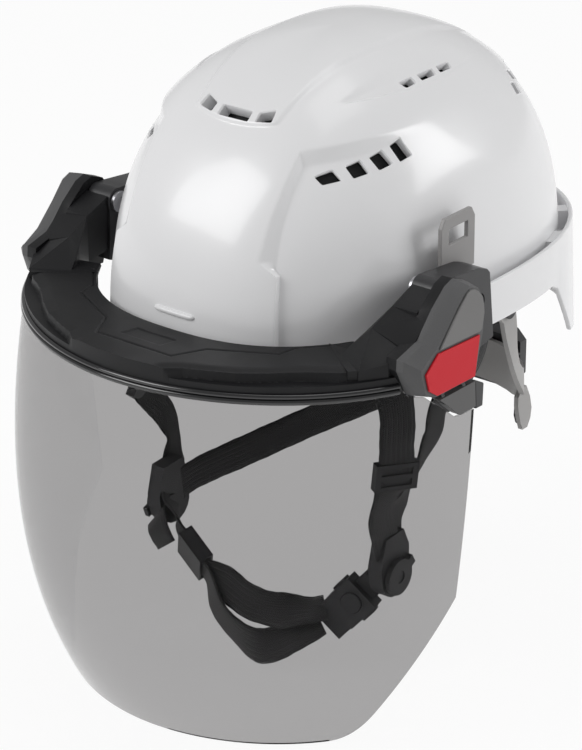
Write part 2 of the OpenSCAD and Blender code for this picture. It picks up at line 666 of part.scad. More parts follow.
// The shield's top edge dips under the pods and the release levers
dip = [[-300, lens_top], [-106.5, lens_top], [-104, -2.4], [-93, -6], [-71.6, -23.4], [-50, -24]];
function lens_edge(y) = let(i = max([for (k = [0:len(dip) - 2]) y >= dip[k][0] ? k : 0]))
    dip[i][1] + (dip[i + 1][1] - dip[i][1]) * (y - dip[i][0]) / (dip[i + 1][0] - dip[i][0]);
lens_cols = 60;
lens_rows = 16;
module face_shield() {
    function col(i) = let(s = -1 + 2 * i / lens_cols) 90 * s;
    function row_z(q, j) = let(
        y0 = lens_pt(q, 0)[1], top = lens_edge(y0), low = lens_bottom(q))
        top + (low - top) * j / lens_rows;
    nc = lens_cols + 1;
    nr = lens_rows + 1;
    points = [for (off = [0, -lens_t]) for (j = [0:lens_rows]) for (i = [0:lens_cols])
        let(q = col(i)) lens_pt(q, row_z(q, j), off)];
    b = nc * nr;
    faces = concat(
        [for (j = [0:lens_rows - 1]) for (i = [0:lens_cols - 1]) let(p = j * nc + i)
            [p, p + 1, p + nc + 1, p + nc]],
        [for (j = [0:lens_rows - 1]) for (i = [0:lens_cols - 1]) let(p = b + j * nc + i)
            [p, p + nc, p + nc + 1, p + 1]],
        [for (i = [0:lens_cols - 1]) [i, b + i, b + i + 1, i + 1]],
        [for (i = [0:lens_cols - 1]) let(p = lens_rows * nc + i) [p, p + 1, b + p + 1, b + p]],
        [for (j = [0:lens_rows - 1]) let(p = j * nc) [p, p + nc, b + p + nc, b + p]],
        [for (j = [0:lens_rows - 1]) let(p = j * nc + lens_cols) [p, b + p, b + p + nc, p + nc]]);
    color([0.6, 0.6, 0.6, 0.5]) polyhedron(points, faces, convexity = 6);
}

function lip_outline(off, q0 = 67, n = 64) = [for (i = [0:n]) let(q = -q0 + 2 * q0 * i / n,
    p = lens_pt(q, lens_top, off)) [p[0], p[1]]];
seal_end = -108.5;
seal_top = lens_top + seal_h - 2;
module lens_seal() {
    color("#111112") intersection() {
        translate([0, 0, lens_top]) linear_extrude(seal_top - lens_top) difference() {
            polygon(lip_outline(0.8));
            polygon(lip_outline(-seal_d));
        }
        translate([-150, seal_end - 200, -10]) cube([300, 200, 30]);
    }
}

flange_top = seal_top + guard_flange_t;
platform_top = flange_top + guard_step;
// Side view of the plate that the pod covers, the same outline as the pod's root
guard_arm = [[-112, 14], [-104, -1.5], [-93, -4.6], [-57.6, -5.6], [-50.2, 18], [-49.2, 30],
    [-50.4, 38], [-55.8, 45.2], [-64.5, 48.6], [-71.4, 46.4], [-82.5, 37.4], [-94.6, 24.4], [-111.5, 20]];
module guard_ring(outer, low, high) {
    translate([0, 0, low]) linear_extrude(high - low) difference() {
        intersection() {
            polygon(outer);
            translate([-arm_out, -300]) square([2 * arm_out, 205]);
        }
        polygon(plan_outline(guard_gap));
    }
}
// Half of the platform's outer edge, spread with the shield's width and reach
edge_half = [for (p = [[120, -108], [116, -119], [105, -131], [90, -141], [77, -153], [63.8, -163],
    [50, -169.5], [38.7, -174.3], [31, -180.5], [30, -186]])
    [p[0] * lens_half_w / 137, lens_y + (p[1] - lens_y) * lens_reach / 126]];
platform = concat(edge_half, [for (i = [len(edge_half) - 1:-1:0]) [-edge_half[i][0], edge_half[i][1]]],
    [[-110, -95], [110, -95]]);
module points_hull(points) { hull() for (p = points) translate(p) cube(0.02, center = true); }
module guard_side() {
    inner = arm_in - 22.4;
    out = arm_in + 2.6;
    low = seal_top + eps;
    top = platform_top;
    face = arm_out - eps;
    difference() {
        union() {
            points_hull([[inner - 5, -113, low], [inner - 5, -113, top], [inner, -101, 23],
                [clip_x, -102, 28], [out, -101, 20.5], [out, -101, low], [arm_in - 7.4, -125, flange_top],
                [arm_in - 7.4, -125, top], [out - 1, -112, top + 2], [out - 1, -112, low],
                [inner, -101, low]]);
            points_hull([[inner, -101, 6], [inner, -101, 23], [clip_x, -102, 28], [clip_x + 1, -86, 35],
                [arm_in, -86, 33], [face, -86, 32.5], [face, -101, 20], [face, -101, 6],
                [clip_x + 1, -86, 8], [arm_in, -84, 8]]);
            points_hull([for (x = [clip_x + 1, arm_in + eps]) for (p = [[-86.1, 8], [-86.1, 35],
                [block_front + 1, 41.4], [block_front - side_gap, 30], [block_front - side_gap, 10]])
                [x, p[0], p[1]]]);
        }
        rod_x(90, arm_in + eps, barrel_r + side_gap, pivot_y, pivot_z, 96);
    }
    side_plate(guard_arm, arm_in, arm_out);
}
module brow_guard() {
    color("#1c1c1e") difference() {
        union() {
            guard_ring(lip_outline(-1), seal_top, flange_top);
            intersection() {
                guard_ring(platform, flange_top - eps, platform_top);
                guard_ring(lip_outline(-1.2), flange_top - eps, platform_top);
            }
            both_sides() guard_side();
        }
        for (s = [-1, 1]) rod_x(s > 0 ? arm_in - 1 : -arm_out - 1, s > 0 ? arm_out + 1 : -arm_in + 1,
            pivot_r + pivot_clear, pivot_y, pivot_z, 64);
        translate([-15, -160, platform_top - 0.8]) cube([30, 10, 2]);
    }
}

// ---------------------------------------------------------------- side pods
pod_skin_x = pod_x - insert_t;
pod_mid = [[-111.5, 13.5], [-103.8, -1.4], [-93, -4.6], [-57.6, -5.6], [-50.3, 18], [-49.5, 30],
    [-50.7, 37.7], [-56, 44.8], [-64.5, 48.1], [-71.2, 45.9], [-82.1, 36.6], [-94.2, 23.6], [-111.3, 19.6]];
pod_face = [[-105, 11.4], [-101.4, 0.4], [-93, -4.4], [-58.2, -5.4], [-51.6, 18], [-50.8, 29.5],
    [-51.9, 36.8], [-56.9, 43.6], [-64.5, 47], [-70.4, 44.6], [-79.8, 34], [-92, 22], [-105.5, 14.6]];
pod_hub = [[-70.5, 12.5]];
lug_y = [-84, -66];
lug_x = pod_x - 4.3;
lug_z = -9;
pin_r = 1.4;
function ring_x(outline, x) = [for (p = outline) [x, p[0], p[1]]];
module pod_cover_left() {
    color("#26262a") difference() {
        union() {
            skin([ring_x(guard_arm, arm_out), ring_x(pod_mid, arm_out + 4), ring_x(pod_face, pod_skin_x)],
                concat(ring_x(pod_hub, arm_out), ring_x(pod_hub, pod_skin_x)));
            for (y = lug_y) {
                translate([lug_x - 2, y - 1.4, lug_z]) cube([3.4, 2.8, 6]);
                translate([lug_x, y + 1.4, lug_z]) rotate([90, 0, 0]) cylinder(r = 2.4, h = 2.8, $fn = 32);
            }
        }
        side_plate([[-103.5, 12], [-99.6, 2.4], [-92, -1.8], [-60.2, -2.8], [-54.6, 18], [-54, 31],
            [-58, 39.4], [-64, 43], [-70, 40.8], [-79, 30.6], [-91, 18.8]], arm_out - 1, pod_skin_x - pod_wall);
        rod_x(arm_out - 1, pod_skin_x - pod_wall, 5.6, pivot_y, pivot_z);
        for (y = lug_y) translate([lug_x, y + 3, lug_z]) rotate([90, 0, 0])
            cylinder(r = pin_r + pivot_clear, h = 6, $fn = 24);
    }
}
module pod_cover_right() { mirror([1, 0, 0]) pod_cover_left(); }
module pod_insert_left() {
    color("#77787b") side_plate([[-90.6, 21], [-56, 19.3], [-53.9, 20], [-52.2, 29], [-52.8, 34], [-54.4, 38.2],
        [-57.8, 42.2], [-61.5, 44.5], [-64.6, 45.2], [-67.5, 44.2], [-73.4, 39]], pod_skin_x, pod_x);
}
module pod_insert_right() { mirror([1, 0, 0]) pod_insert_left(); }
module badge_left() {
    color("#c4121c") side_plate([[-92.1, 19.5], [-55.8, 17.6], [-59.4, -4.4], [-92.6, -3.4], [-99.6, 1.4],
        [-102.6, 11.4]], pod_skin_x, pod_x);
}
module badge_right() { mirror([1, 0, 0]) badge_left(); }

latch_x = [pod_x - 6.7, pod_x - 0.9];
latch_skin = 0.8;
latch_low = -22.4;
latch_front = [-89, -70.8];
module latch_left() {
    color("#6c6d70") {
        difference() {
            side_plate([[latch_front[0], lug_z + 1.8], [-58.2, lug_z + 1.2], [-57.2, latch_low],
                [latch_front[1], latch_low]], latch_x[0], latch_x[1]);
            for (y = lug_y) translate([latch_x[0] - 1, y - 1.8, lug_z - 3.2])
                cube([latch_x[1] - latch_skin - latch_x[0] + 1, 3.6, 10]);
        }
        translate([lug_x, -60, lug_z]) rotate([90, 0, 0]) cylinder(r = pin_r, h = 27, $fn = 24);
    }
}
module latch_right() { mirror([1, 0, 0]) latch_left(); }
module latch_cap_left() {
    color("#1c1c1e") side_plate([[-57.2, latch_low - 1.6], [-50.9, latch_low - 1.9],
        [-50.2, -11.5], [-58.2, lug_z + 1.2], [-57.2, latch_low]], latch_x[0] - 0.5, latch_x[1] + 0.2);
}
module latch_cap_right() { mirror([1, 0, 0]) latch_cap_left(); }

// ---------------------------------------------------------------- nape ratchet
hub = [42, -14];
hub_x = 86.5 * wide;
nape_z = -81.5;
housing_y = [109.5 + nape_shift, 123.5 + nape_shift];
cradle_route = concat(spread([[88, 43, -15], [87.5, 47, -30], [85, 54, -46], [80, 66, -62], [75, 79, -74]]),
    [for (p = spread([[68, 89, -79], [58, 97.4, nape_z], [46, 103.6, nape_z], [30, 107.2, nape_z],
        [0, 107.2, nape_z]])) p + [0, nape_shift, 0]]);
module nape_arm() {
    web(cradle_route, [[1, 0, 0], [1, 0, 0], [1, 0.2, 0], [1, 0.4, 0], [1, 0.7, 0], [1, 1, 0], [0.7, 1, 0],
        [0.3, 1, 0], [0, 1, 0], [0, 1, 0]], [13, 11, 9, 9, 14, 20, 24, 26, 26, 26], 3, 2);
}
paddle_x = 72.5 * wide;
module nape_cradle() {
    color("#8a8b8e") difference() {
        both_sides() {
            nape_arm();
            rod_x(hub_x, hub_x + 3, 8, hub[0], hub[1]);
            translate([-eps, housing_y[0] - 3, nape_z - 13]) cube([30, 3, 26]);
            side_plate([[76, -84], [80, -79], [84, -79], [88, -87], [90, -95], [89, -101], [86, -106],
                [81, -106], [78, -98], [76, -90]], paddle_x, paddle_x + 3);
        }
        for (s = [-1, 1]) rod_x(s * (hub_x + 1.5) - 5, s * (hub_x + 1.5) + 5, 2.5, hub[0], hub[1], 32);
    }
}
// Hanger lugs under the liner carry the cradle's studs
module nape_pins() {
    color("#2b2b2d") both_sides() {
        translate([hub_x - 3.6, hub[0] - 8, hub[1] - 8]) cube([3.2, 16, liner_rim - hub[1] + 8]);
        rod_x(hub_x - 0.4 - eps, hub_x + 4, 2.5, hub[0], hub[1], 32);
        rod_x(hub_x + 3.4, hub_x + 5.2, 5, hub[0], hub[1]);
    }
}
module nape_pads() {
    color("#202022") {
        translate([-25, housing_y[0] - 8.8, nape_z - 11]) cube([50, 5, 22]);
        both_sides() side_plate([[80, -92.5], [87, -92.5], [88.4, -96], [87, -101.5], [85, -104.4],
            [81.6, -103.6], [79.6, -98]], paddle_x - 3, paddle_x);
    }
}
pitch_r = pinion_teeth * gear_module / 2;
shaft_r = 3.5;
rack_d = 4;
cavity_y = [housing_y[0] + 2.2, housing_y[0] + 7.2];
rack_h = 5;
module ratchet_housing() {
    cy = cavity_y[1] - cavity_y[0];
    color("#1c1c1e") difference() {
        translate([0, housing_y[1], nape_z]) rotate([90, 0, 0]) linear_extrude(housing_y[1] - housing_y[0])
            polygon([for (p = [[-1, -1], [1, -1], [1, 1], [-1, 1]]) for (k = [0, 1])
                let(c = p[0] * p[1] > 0 ? k : 1 - k) [p[0] * (housing_half_w - (c > 0 ? 6 : 0)),
                p[1] * (housing_h / 2 - (c > 0 ? 0 : 6))]]);
        translate([0, cavity_y[1], nape_z]) rotate([90, 0, 0])
            cylinder(r = pitch_r + 1.6, h = cy, $fn = 64);
        translate([-28, cavity_y[0], nape_z + pitch_r - 1.6]) cube([80, cy, rack_h + 2.2]);
        translate([-52, cavity_y[0], nape_z - pitch_r - rack_h - 0.6]) cube([80, cy, rack_h + 2.2]);
        translate([0, housing_y[1] + 1, nape_z]) rotate([90, 0, 0])
            cylinder(r = shaft_r + pivot_clear, h = 12, $fn = 64);
        for (s = [-1, 1]) translate([s > 0 ? 27 : -52, cavity_y[0], nape_z - 3]) cube([25, cy, 6]);
    }
}
backlash = 0.34;
tooth = PI * gear_module / 2 - backlash;
module pinion(r) {
    a = gear_module * 0.85;
    circle(r = r - 1.1 * gear_module, $fn = 48);
    for (i = [0:pinion_teeth - 1]) rotate(360 * i / pinion_teeth)
        polygon([[r - 1.4 * gear_module, -tooth * 0.72], [r - 0.1, -tooth * 0.54], [r + a, -tooth * 0.24],
            [r + a, tooth * 0.24], [r - 0.1, tooth * 0.54], [r - 1.4 * gear_module, tooth * 0.72]]);
}
module ratchet_knob() {
    color("#2a2a2c") translate([0, housing_y[1] + 0.4 + knob_l, nape_z]) rotate([90, 0, 0]) {
        difference() {
            cylinder(d = knob_d, h = knob_l, $fn = 72);
            for (i = [0:11]) rotate(30 * i) translate([knob_d / 2 + 2.2, 0, -1])
                cylinder(r = 3.8, h = knob_l + 2, $fn = 24);
            translate([0, 0, -1]) cylinder(d = knob_d * 0.56, h = 2.2, $fn = 48);
        }
        cylinder(r = shaft_r, h = knob_l + 0.4 + housing_y[1] - cavity_y[0] - 0.4, $fn = 64);
        translate([0, 0, knob_l + 0.4 + housing_y[1] - cavity_y[1] + 0.5])
            rotate(90) linear_extrude(rack_d) pinion(pitch_r);
    }
}
// Toothed rack pointing down at z = 0, body above
module rack_shape(from, to) {
    pitch = PI * gear_module;
    n = 5;
    translate([from, 1.1 * gear_module]) square([to - from, rack_h - 1.1 * gear_module]);
    for (i = [-n:n]) let(x = (i + 0.5) * pitch) if (x > -15.2 && x < 15.2)
        polygon([[x - tooth * 0.72, 1.2 * gear_module], [x - tooth / 2, 0], [x - tooth * 0.22, -0.75 * gear_module],
            [x + tooth * 0.22, -0.75 * gear_module], [x + tooth / 2, 0], [x + tooth * 0.72, 1.2 * gear_module]]);
}
rack_out = 47;
module rack_left() {
    color("#3a3a3c") translate([0, cavity_y[1] - 0.5, nape_z + pitch_r]) rotate([90, 0, 0])
        linear_extrude(rack_d) rack_shape(-17, rack_out);
}
module rack_right() {
    color("#3a3a3c") translate([0, cavity_y[1] - 0.5, nape_z - pitch_r]) rotate([90, 0, 0])
        linear_extrude(rack_d) rotate(180) rack_shape(-17, rack_out);
}

// ---------------------------------------------------------------- comfort straps in the crown
module crown_straps() {
    c = liner_in - 0.2;
    color("#2b2b2d") {
        web([for (i = [0:10]) dome_pt(i < 5 ? 0.5 : 180, i < 5 ? 22 + 13.6 * i : 158 - 13.6 * i, c - 1)],
            [for (i = [0:10]) i < 5 ? [0, -1, 0.6 + i] : [0, 1, 0.6 + (10 - i)]], same(18, 11), 1.6, 2);
    }
}

shell();
foam_liner();
headband();
brow_pad();
crown_straps();
strap_anchors();
clip_left();
clip_right();
mount_block_left();
mount_block_right();
block_screws();
pivot_bolts();
nape_pins();
brow_guard();
lens_seal();
face_shield();
pod_cover_left();
pod_cover_right();
pod_insert_left();
pod_insert_right();
badge_left();
badge_right();
friction_washers();
latch_left();
latch_cap_left();
latch_right();
latch_cap_right();
nape_cradle();
nape_pads();
ratchet_housing();
ratchet_knob();
rack_left();
rack_right();
front_strap_left();
front_strap_right();
rear_strap_left();
rear_strap_right();
adjuster_left();
adjuster_right();
yoke_left();
yoke_right();
cam_lever_left();
cam_lever_right();
buckle_body();
buckle_tongue();
release_button();
chin_strap();
chin_return();
keeper_sleeve();
strap_tab();
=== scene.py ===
# %% [markdown]
# # A climbing-style safety helmet with a face shield
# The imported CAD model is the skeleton: it fixes every size, joint and clearance. Here each visible piece gets
# its finish. Smooth mouldings are worked out again with numpy at a fine pitch, because a lathe-like surface
# with a handful of facets would show in its highlights. Hard little parts keep their CAD shape and only have
# their edges rounded, as a real mould does.

# %% Setup
import math
import bmesh
import bpy
import numpy as np
from mathutils import Matrix, Vector


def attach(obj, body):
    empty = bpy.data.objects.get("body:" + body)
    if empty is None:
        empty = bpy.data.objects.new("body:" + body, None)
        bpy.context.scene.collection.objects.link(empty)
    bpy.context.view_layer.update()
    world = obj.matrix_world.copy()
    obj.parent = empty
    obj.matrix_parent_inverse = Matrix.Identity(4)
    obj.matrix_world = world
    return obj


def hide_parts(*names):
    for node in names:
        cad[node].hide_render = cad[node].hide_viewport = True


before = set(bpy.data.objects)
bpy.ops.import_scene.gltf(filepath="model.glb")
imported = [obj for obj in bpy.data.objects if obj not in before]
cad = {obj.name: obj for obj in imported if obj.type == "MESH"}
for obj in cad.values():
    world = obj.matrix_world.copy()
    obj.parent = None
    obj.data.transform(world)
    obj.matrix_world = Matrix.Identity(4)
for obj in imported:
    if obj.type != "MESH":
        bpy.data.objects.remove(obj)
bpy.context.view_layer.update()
MM = 0.001
print("CAD nodes:", len(cad))

# %% [markdown]
# ## Camera
# A long lens from the wearer's left front, a little above. The shift only moves the frame on the subject, as a
# view camera does.

# %% Camera
camera = bpy.data.objects.new("studio_camera", bpy.data.cameras.new("studio_camera"))
bpy.context.scene.collection.objects.link(camera)
camera_right = Vector((0.7931, 0.6090, 0.0))
camera_back = Vector((0.5637, -0.7341, 0.3787)).normalized()
camera_right = (camera_right - camera_right.dot(camera_back) * camera_back).normalized()
camera_up = camera_back.cross(camera_right)
turned = Matrix((camera_right, camera_up, camera_back)).transposed().to_4x4()
camera.matrix_world = Matrix.Translation(camera_back * 1.53606) @ turned
camera.data.sensor_width = 36.0
camera.data.lens = 132.715
camera.data.shift_x = -0.0558
camera.data.shift_y = -0.1380
camera.data.clip_end = 50.0
bpy.context.scene.camera = camera

# %% [markdown]
# ## Turning arrays into pieces
# Every surface below is a grid of points: rows along one direction, columns along the other. One helper joins
# neighbouring points into four-sided faces, another puts the result in the scene, on the body it moves with.

# %% Helpers for meshes
def grid_faces(rows, cols, wrap_cols=False):
    """Four-sided faces between neighbouring points of a rows by cols grid, numbered row by row."""
    i = np.arange(rows - 1)[:, None]
    j = np.arange(cols if wrap_cols else cols - 1)[None, :]
    i2, j2 = i + 1, (j + 1) % cols
    return np.stack([i * cols + j, i * cols + j2, i2 * cols + j2, i2 * cols + j], -1).reshape(-1, 4)


def tube_faces(count, n):
    """Faces of a closed section of n points carried through count stations, with both ends capped."""
    sides = [list(f) for f in grid_faces(count, n, wrap_cols=True)]
    return sides + [list(range(n)), [count * n - 1 - k for k in range(n)]]


def mesh_object(name, points, faces, merge=True):
    """An object whose vertices are the points, given in millimetres, with its faces turned outward."""
    mesh = bpy.data.meshes.new(name)
    mesh.from_pydata((np.asarray(points, float).reshape(-1, 3) * MM).tolist(), [], [list(f) for f in faces])
    skin = bmesh.new()
    skin.from_mesh(mesh)
    if merge:
        bmesh.ops.remove_doubles(skin, verts=skin.verts, dist=1e-6)
    bmesh.ops.recalc_face_normals(skin, faces=skin.faces)
    skin.to_mesh(mesh)
    skin.free()
    piece = bpy.data.objects.new(name, mesh)
    bpy.context.scene.collection.objects.link(piece)
    return piece


def smooth(piece, angle=32.0):
    """Smooth shading that stays crisp across edges sharper than the angle."""
    piece.data.shade_smooth()
    piece.data.set_sharp_from_angle(angle=math.radians(angle))
    return piece


def seat(piece, body, slot, material, *nodes):
    """The piece takes its finish, moves with its body and stands for the CAD nodes named."""
    piece.data.materials.clear()
    piece.data.materials.append(material)
    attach(piece, body)
    if nodes:
        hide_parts(*nodes)
    return piece


def applied(piece):
    """The piece with its modifiers worked into its mesh."""
    graph = bpy.context.evaluated_depsgraph_get()
    mesh = bpy.data.meshes.new_from_object(piece.evaluated_get(graph))
    piece.modifiers.clear()
    piece.data = mesh
    return piece


def signed_power(x, p):
    """x to the power p, with its sign kept: it squares off or sharpens a circle's sine and cosine."""
    return np.sign(x) * np.abs(x) ** p


def step(x, low, high):
    """0 below low, 1 above high, and a smooth S between."""
    t = np.clip((x - low) / (high - low), 0, 1)
    return t * t * (3 - 2 * t)


def table(x, pairs):
    """Straight-line reading of a short table of (x, value) pairs."""
    return np.interp(x, [p[0] for p in pairs], [p[1] for p in pairs])


# %% [markdown]
# ## Finishes
# Moulded plastic is never one flat value: its gloss changes a little from place to place, it carries the
# mould's fine grain, and its colour drifts by a percent or two. Those three effects are shared, so each is a
# node group with named inputs. Each material then places the groups with its own numbers.

# %% Node group helpers
def new_group(name, inputs, outputs):
    """An empty shader group with float inputs (name, default) and outputs (name, socket type)."""
    group = bpy.data.node_groups.new(name, "ShaderNodeTree")
    for label, value in inputs:
        socket = group.interface.new_socket(name=label, in_out="INPUT", socket_type="NodeSocketFloat")
        socket.default_value = value
    for label, kind in outputs:
        group.interface.new_socket(name=label, in_out="OUTPUT", socket_type=kind)
    return group, group.nodes.new("NodeGroupInput"), group.nodes.new("NodeGroupOutput")


def math_node(tree, operation, a, b=0.0):
    """One Math node; a and b are sockets or numbers."""
    node = tree.nodes.new("ShaderNodeMath")
    node.operation = operation
    for socket, value in zip(node.inputs, (a, b)):
        if isinstance(value, (int, float)):
            socket.default_value = value
        else:
            tree.links.new(value, socket)
    return node.outputs[0]


def noise_node(tree, vector, scale, detail=3.0):
    """Fractal noise read at the vector; the scale is a socket or a number."""
    node = tree.nodes.new("ShaderNodeTexNoise")
    node.inputs["Detail"].default_value = detail
    tree.links.new(vector, node.inputs["Vector"])
    if isinstance(scale, (int, float)):
        node.inputs["Scale"].default_value = scale
    else:
        tree.links.new(scale, node.inputs["Scale"])
    return node.outputs["Fac"]


# %% Grain: the mould's texture, as a normal
grain, g_in, g_out = new_group("mould_grain", [("Scale", 900.0), ("Depth", 0.02), ("Waviness", 0.02)],
                               [("Normal", "NodeSocketVector")])
g_place = grain.nodes.new("ShaderNodeTexCoord").outputs["Object"]
fine = noise_node(grain, g_place, g_in.outputs["Scale"], 2.0)
broad = noise_node(grain, g_place, 16.0, 1.0)
g_fine = grain.nodes.new("ShaderNodeBump")
g_broad = grain.nodes.new("ShaderNodeBump")
g_fine.inputs["Distance"].default_value = 0.0004
g_broad.inputs["Distance"].default_value = 0.004
grain.links.new(g_in.outputs["Waviness"], g_broad.inputs["Strength"])
grain.links.new(broad, g_broad.inputs["Height"])
grain.links.new(g_in.outputs["Depth"], g_fine.inputs["Strength"])
grain.links.new(fine, g_fine.inputs["Height"])
grain.links.new(g_broad.outputs["Normal"], g_fine.inputs["Normal"])
grain.links.new(g_fine.outputs["Normal"], g_out.inputs["Normal"])

# %% Drift: slow changes of colour and gloss
drift, d_in, d_out = new_group("finish_drift", [("Scale", 30.0), ("Low", 0.9), ("High", 1.1)],
                               [("Factor", "NodeSocketFloat")])
d_place = drift.nodes.new("ShaderNodeTexCoord").outputs["Object"]
d_noise = noise_node(drift, d_place, d_in.outputs["Scale"], 4.0)
d_span = math_node(drift, "SUBTRACT", d_in.outputs["High"], d_in.outputs["Low"])
d_value = math_node(drift, "MULTIPLY", d_noise, d_span)
drift.links.new(math_node(drift, "ADD", d_value, d_in.outputs["Low"]), d_out.inputs["Factor"])


# %% Materials for the mouldings
def place_group(material, group, **values):
    """The group as a node of the material, with its inputs set by name."""
    node = material.node_tree.nodes.new("ShaderNodeGroup")
    node.node_tree = group
    for label, value in values.items():
        node.inputs[label].default_value = value
    return node


def shade_colour(tree, shader, colour, factor):
    """The shader's colour is the given one times the factor."""
    tint = tree.nodes.new("ShaderNodeMix")
    tint.data_type = "RGBA"
    tint.blend_type = "MULTIPLY"
    tint.inputs["Factor"].default_value = 1.0
    tint.inputs["A"].default_value = (*colour, 1.0)
    tree.links.new(factor, tint.inputs["B"])
    tree.links.new(tint.outputs["Result"], shader.inputs["Base Color"])


def plastic(name, colour, roughness, grain_scale=900.0, grain_depth=0.05, wave=0.02, shift=0.08,
            specular=0.5, coat=0.0, metallic=0.0):
    """A moulded finish: colour and roughness drift by the shift, over the mould's grain."""
    material = bpy.data.materials.new(name)
    material.use_nodes = True
    tree = material.node_tree
    shader = tree.nodes["Principled BSDF"]
    shader.inputs["Metallic"].default_value = metallic
    shader.inputs["Specular IOR Level"].default_value = specular
    shader.inputs["Coat Weight"].default_value = coat
    shader.inputs["Coat Roughness"].default_value = 0.08
    texture = place_group(material, grain, Scale=grain_scale, Depth=grain_depth, Waviness=wave)
    tree.links.new(texture.outputs["Normal"], shader.inputs["Normal"])
    gloss = place_group(material, drift, Scale=45.0, Low=1 - shift * 2, High=1 + shift * 2)
    rough = math_node(tree, "MULTIPLY", gloss.outputs["Factor"], roughness)
    tree.links.new(rough, shader.inputs["Roughness"])
    tone = place_group(material, drift, Scale=14.0, Low=1 - shift, High=1 + shift)
    shade_colour(tree, shader, colour, tone.outputs["Factor"])
    material.diffuse_color = (*colour, 1.0)
    return material


white_gloss = plastic("white_gloss", (0.86, 0.86, 0.87), 0.24, 700, 0.012, 0.012, 0.012, 0.5, 0.25)
guard_black = plastic("guard_black", (0.009, 0.009, 0.010), 0.44, 1600, 0.10, 0.02, 0.10, 0.28)
pod_black = plastic("pod_black", (0.088, 0.088, 0.090), 0.55, 1400, 0.30, 0.02, 0.10, 0.5)
block_black = plastic("block_black", (0.026, 0.026, 0.028), 0.40, 1300, 0.10, 0.02, 0.12, 0.5)
seal_black = plastic("seal_black", (0.010, 0.010, 0.011), 0.12, 600, 0.01, 0.02, 0.10, 0.6, 0.4)
clip_grey = plastic("clip_grey", (0.30, 0.292, 0.29), 0.44, 1500, 0.08, 0.01, 0.05, 0.5)
insert_grey = plastic("insert_grey", (0.165, 0.162, 0.16), 0.48, 1700, 0.12, 0.01, 0.06, 0.5)
latch_grey = plastic("latch_grey", (0.085, 0.084, 0.084), 0.46, 1600, 0.10, 0.01, 0.06, 0.5)
cradle_grey = plastic("cradle_grey", (0.40, 0.392, 0.385), 0.50, 1400, 0.10, 0.02, 0.06, 0.5)
badge_red = plastic("badge_red", (0.62, 0.010, 0.022), 0.50, 900, 0.02, 0.01, 0.04, 0.3)
buckle_black = plastic("buckle_black", (0.020, 0.020, 0.022), 0.48, 1400, 0.14, 0.02, 0.12, 0.5)
foam_black = plastic("foam_black", (0.018, 0.018, 0.019), 0.85, 420, 0.9, 0.05, 0.2, 0.3)
screw_steel = plastic("screw_steel", (0.42, 0.42, 0.44), 0.30, 2500, 0.06, 0.0, 0.1, 0.5, 0.0, 1.0)

# %% [markdown]
# ## Webbing
# Polyester webbing is a plain weave with thick ribs across its width and a bound edge on each side. The
# pattern is drawn from the strip's own UV map, where U runs along the strip and V across it, both in metres.

# %% Weave group and the webbing material
weave, w_in, w_out = new_group("webbing_weave", [("Pitch", 0.0011), ("Cords", 14.0)],
                               [("Height", "NodeSocketFloat"), ("Shade", "NodeSocketFloat")])
w_uv = weave.nodes.new("ShaderNodeUVMap")
w_uv.uv_map = "strip"
w_split = weave.nodes.new("ShaderNodeSeparateXYZ")
weave.links.new(w_uv.outputs["UV"], w_split.inputs[0])
w_along = math_node(weave, "DIVIDE", w_split.outputs[0], w_in.outputs["Pitch"])
w_across = math_node(weave, "MULTIPLY", w_split.outputs[1], w_in.outputs["Cords"])
w_zig = math_node(weave, "PINGPONG", w_across, 1.0)
w_phase = math_node(weave, "ADD", w_along, w_zig)
w_rib = math_node(weave, "ABSOLUTE", math_node(weave, "SINE", math_node(weave, "MULTIPLY", w_phase, math.pi)))
w_cords = math_node(weave, "SINE", math_node(weave, "MULTIPLY", w_across, math.pi))
w_cord = math_node(weave, "ABSOLUTE", w_cords)
w_height = math_node(weave, "MULTIPLY", w_rib, math_node(weave, "ADD", w_cord, 0.5))
weave.links.new(w_height, w_out.inputs["Height"])
# Painted shade: the colour follows the weave's height, darker in the gaps between cords and lighter on the cord
# tops.
w_painted_shade = math_node(weave, "ADD", math_node(weave, "MULTIPLY", w_height, 0.5), 0.6)
weave.links.new(w_painted_shade, w_out.inputs["Shade"])


def webbing_material(name, colour):
    """Woven strip: the weave drives the bump and paints shade into the gaps between cords, lighter on the cord
    tops, with a soft sheen on top.
    """
    material = bpy.data.materials.new(name)
    material.use_nodes = True
    tree = material.node_tree
    shader = tree.nodes["Principled BSDF"]
    shader.inputs["Roughness"].default_value = 0.78
    shader.inputs["Sheen Weight"].default_value = 0.25
    shader.inputs["Sheen Roughness"].default_value = 0.4
    cloth = place_group(material, weave)
    bump = tree.nodes.new("ShaderNodeBump")
    bump.inputs["Distance"].default_value = 0.00035
    bump.inputs["Strength"].default_value = 0.8
    tree.links.new(cloth.outputs["Height"], bump.inputs["Height"])
    tree.links.new(bump.outputs["Normal"], shader.inputs["Normal"])
    shade_colour(tree, shader, colour, cloth.outputs["Shade"])
    return material


webbing_black = webbing_material("webbing_black", (0.016, 0.016, 0.017))

# %% [markdown]
# ## Tinted shield
# The shield is clear polycarbonate with a grey tint. Light should pass it tinted but without the slow
# sparkle of refracted lamp light, so shadow rays see a plain grey filter and all other rays see
# real glass. The tint is taken once: where two layers lie behind each other the second one is nearly clear.

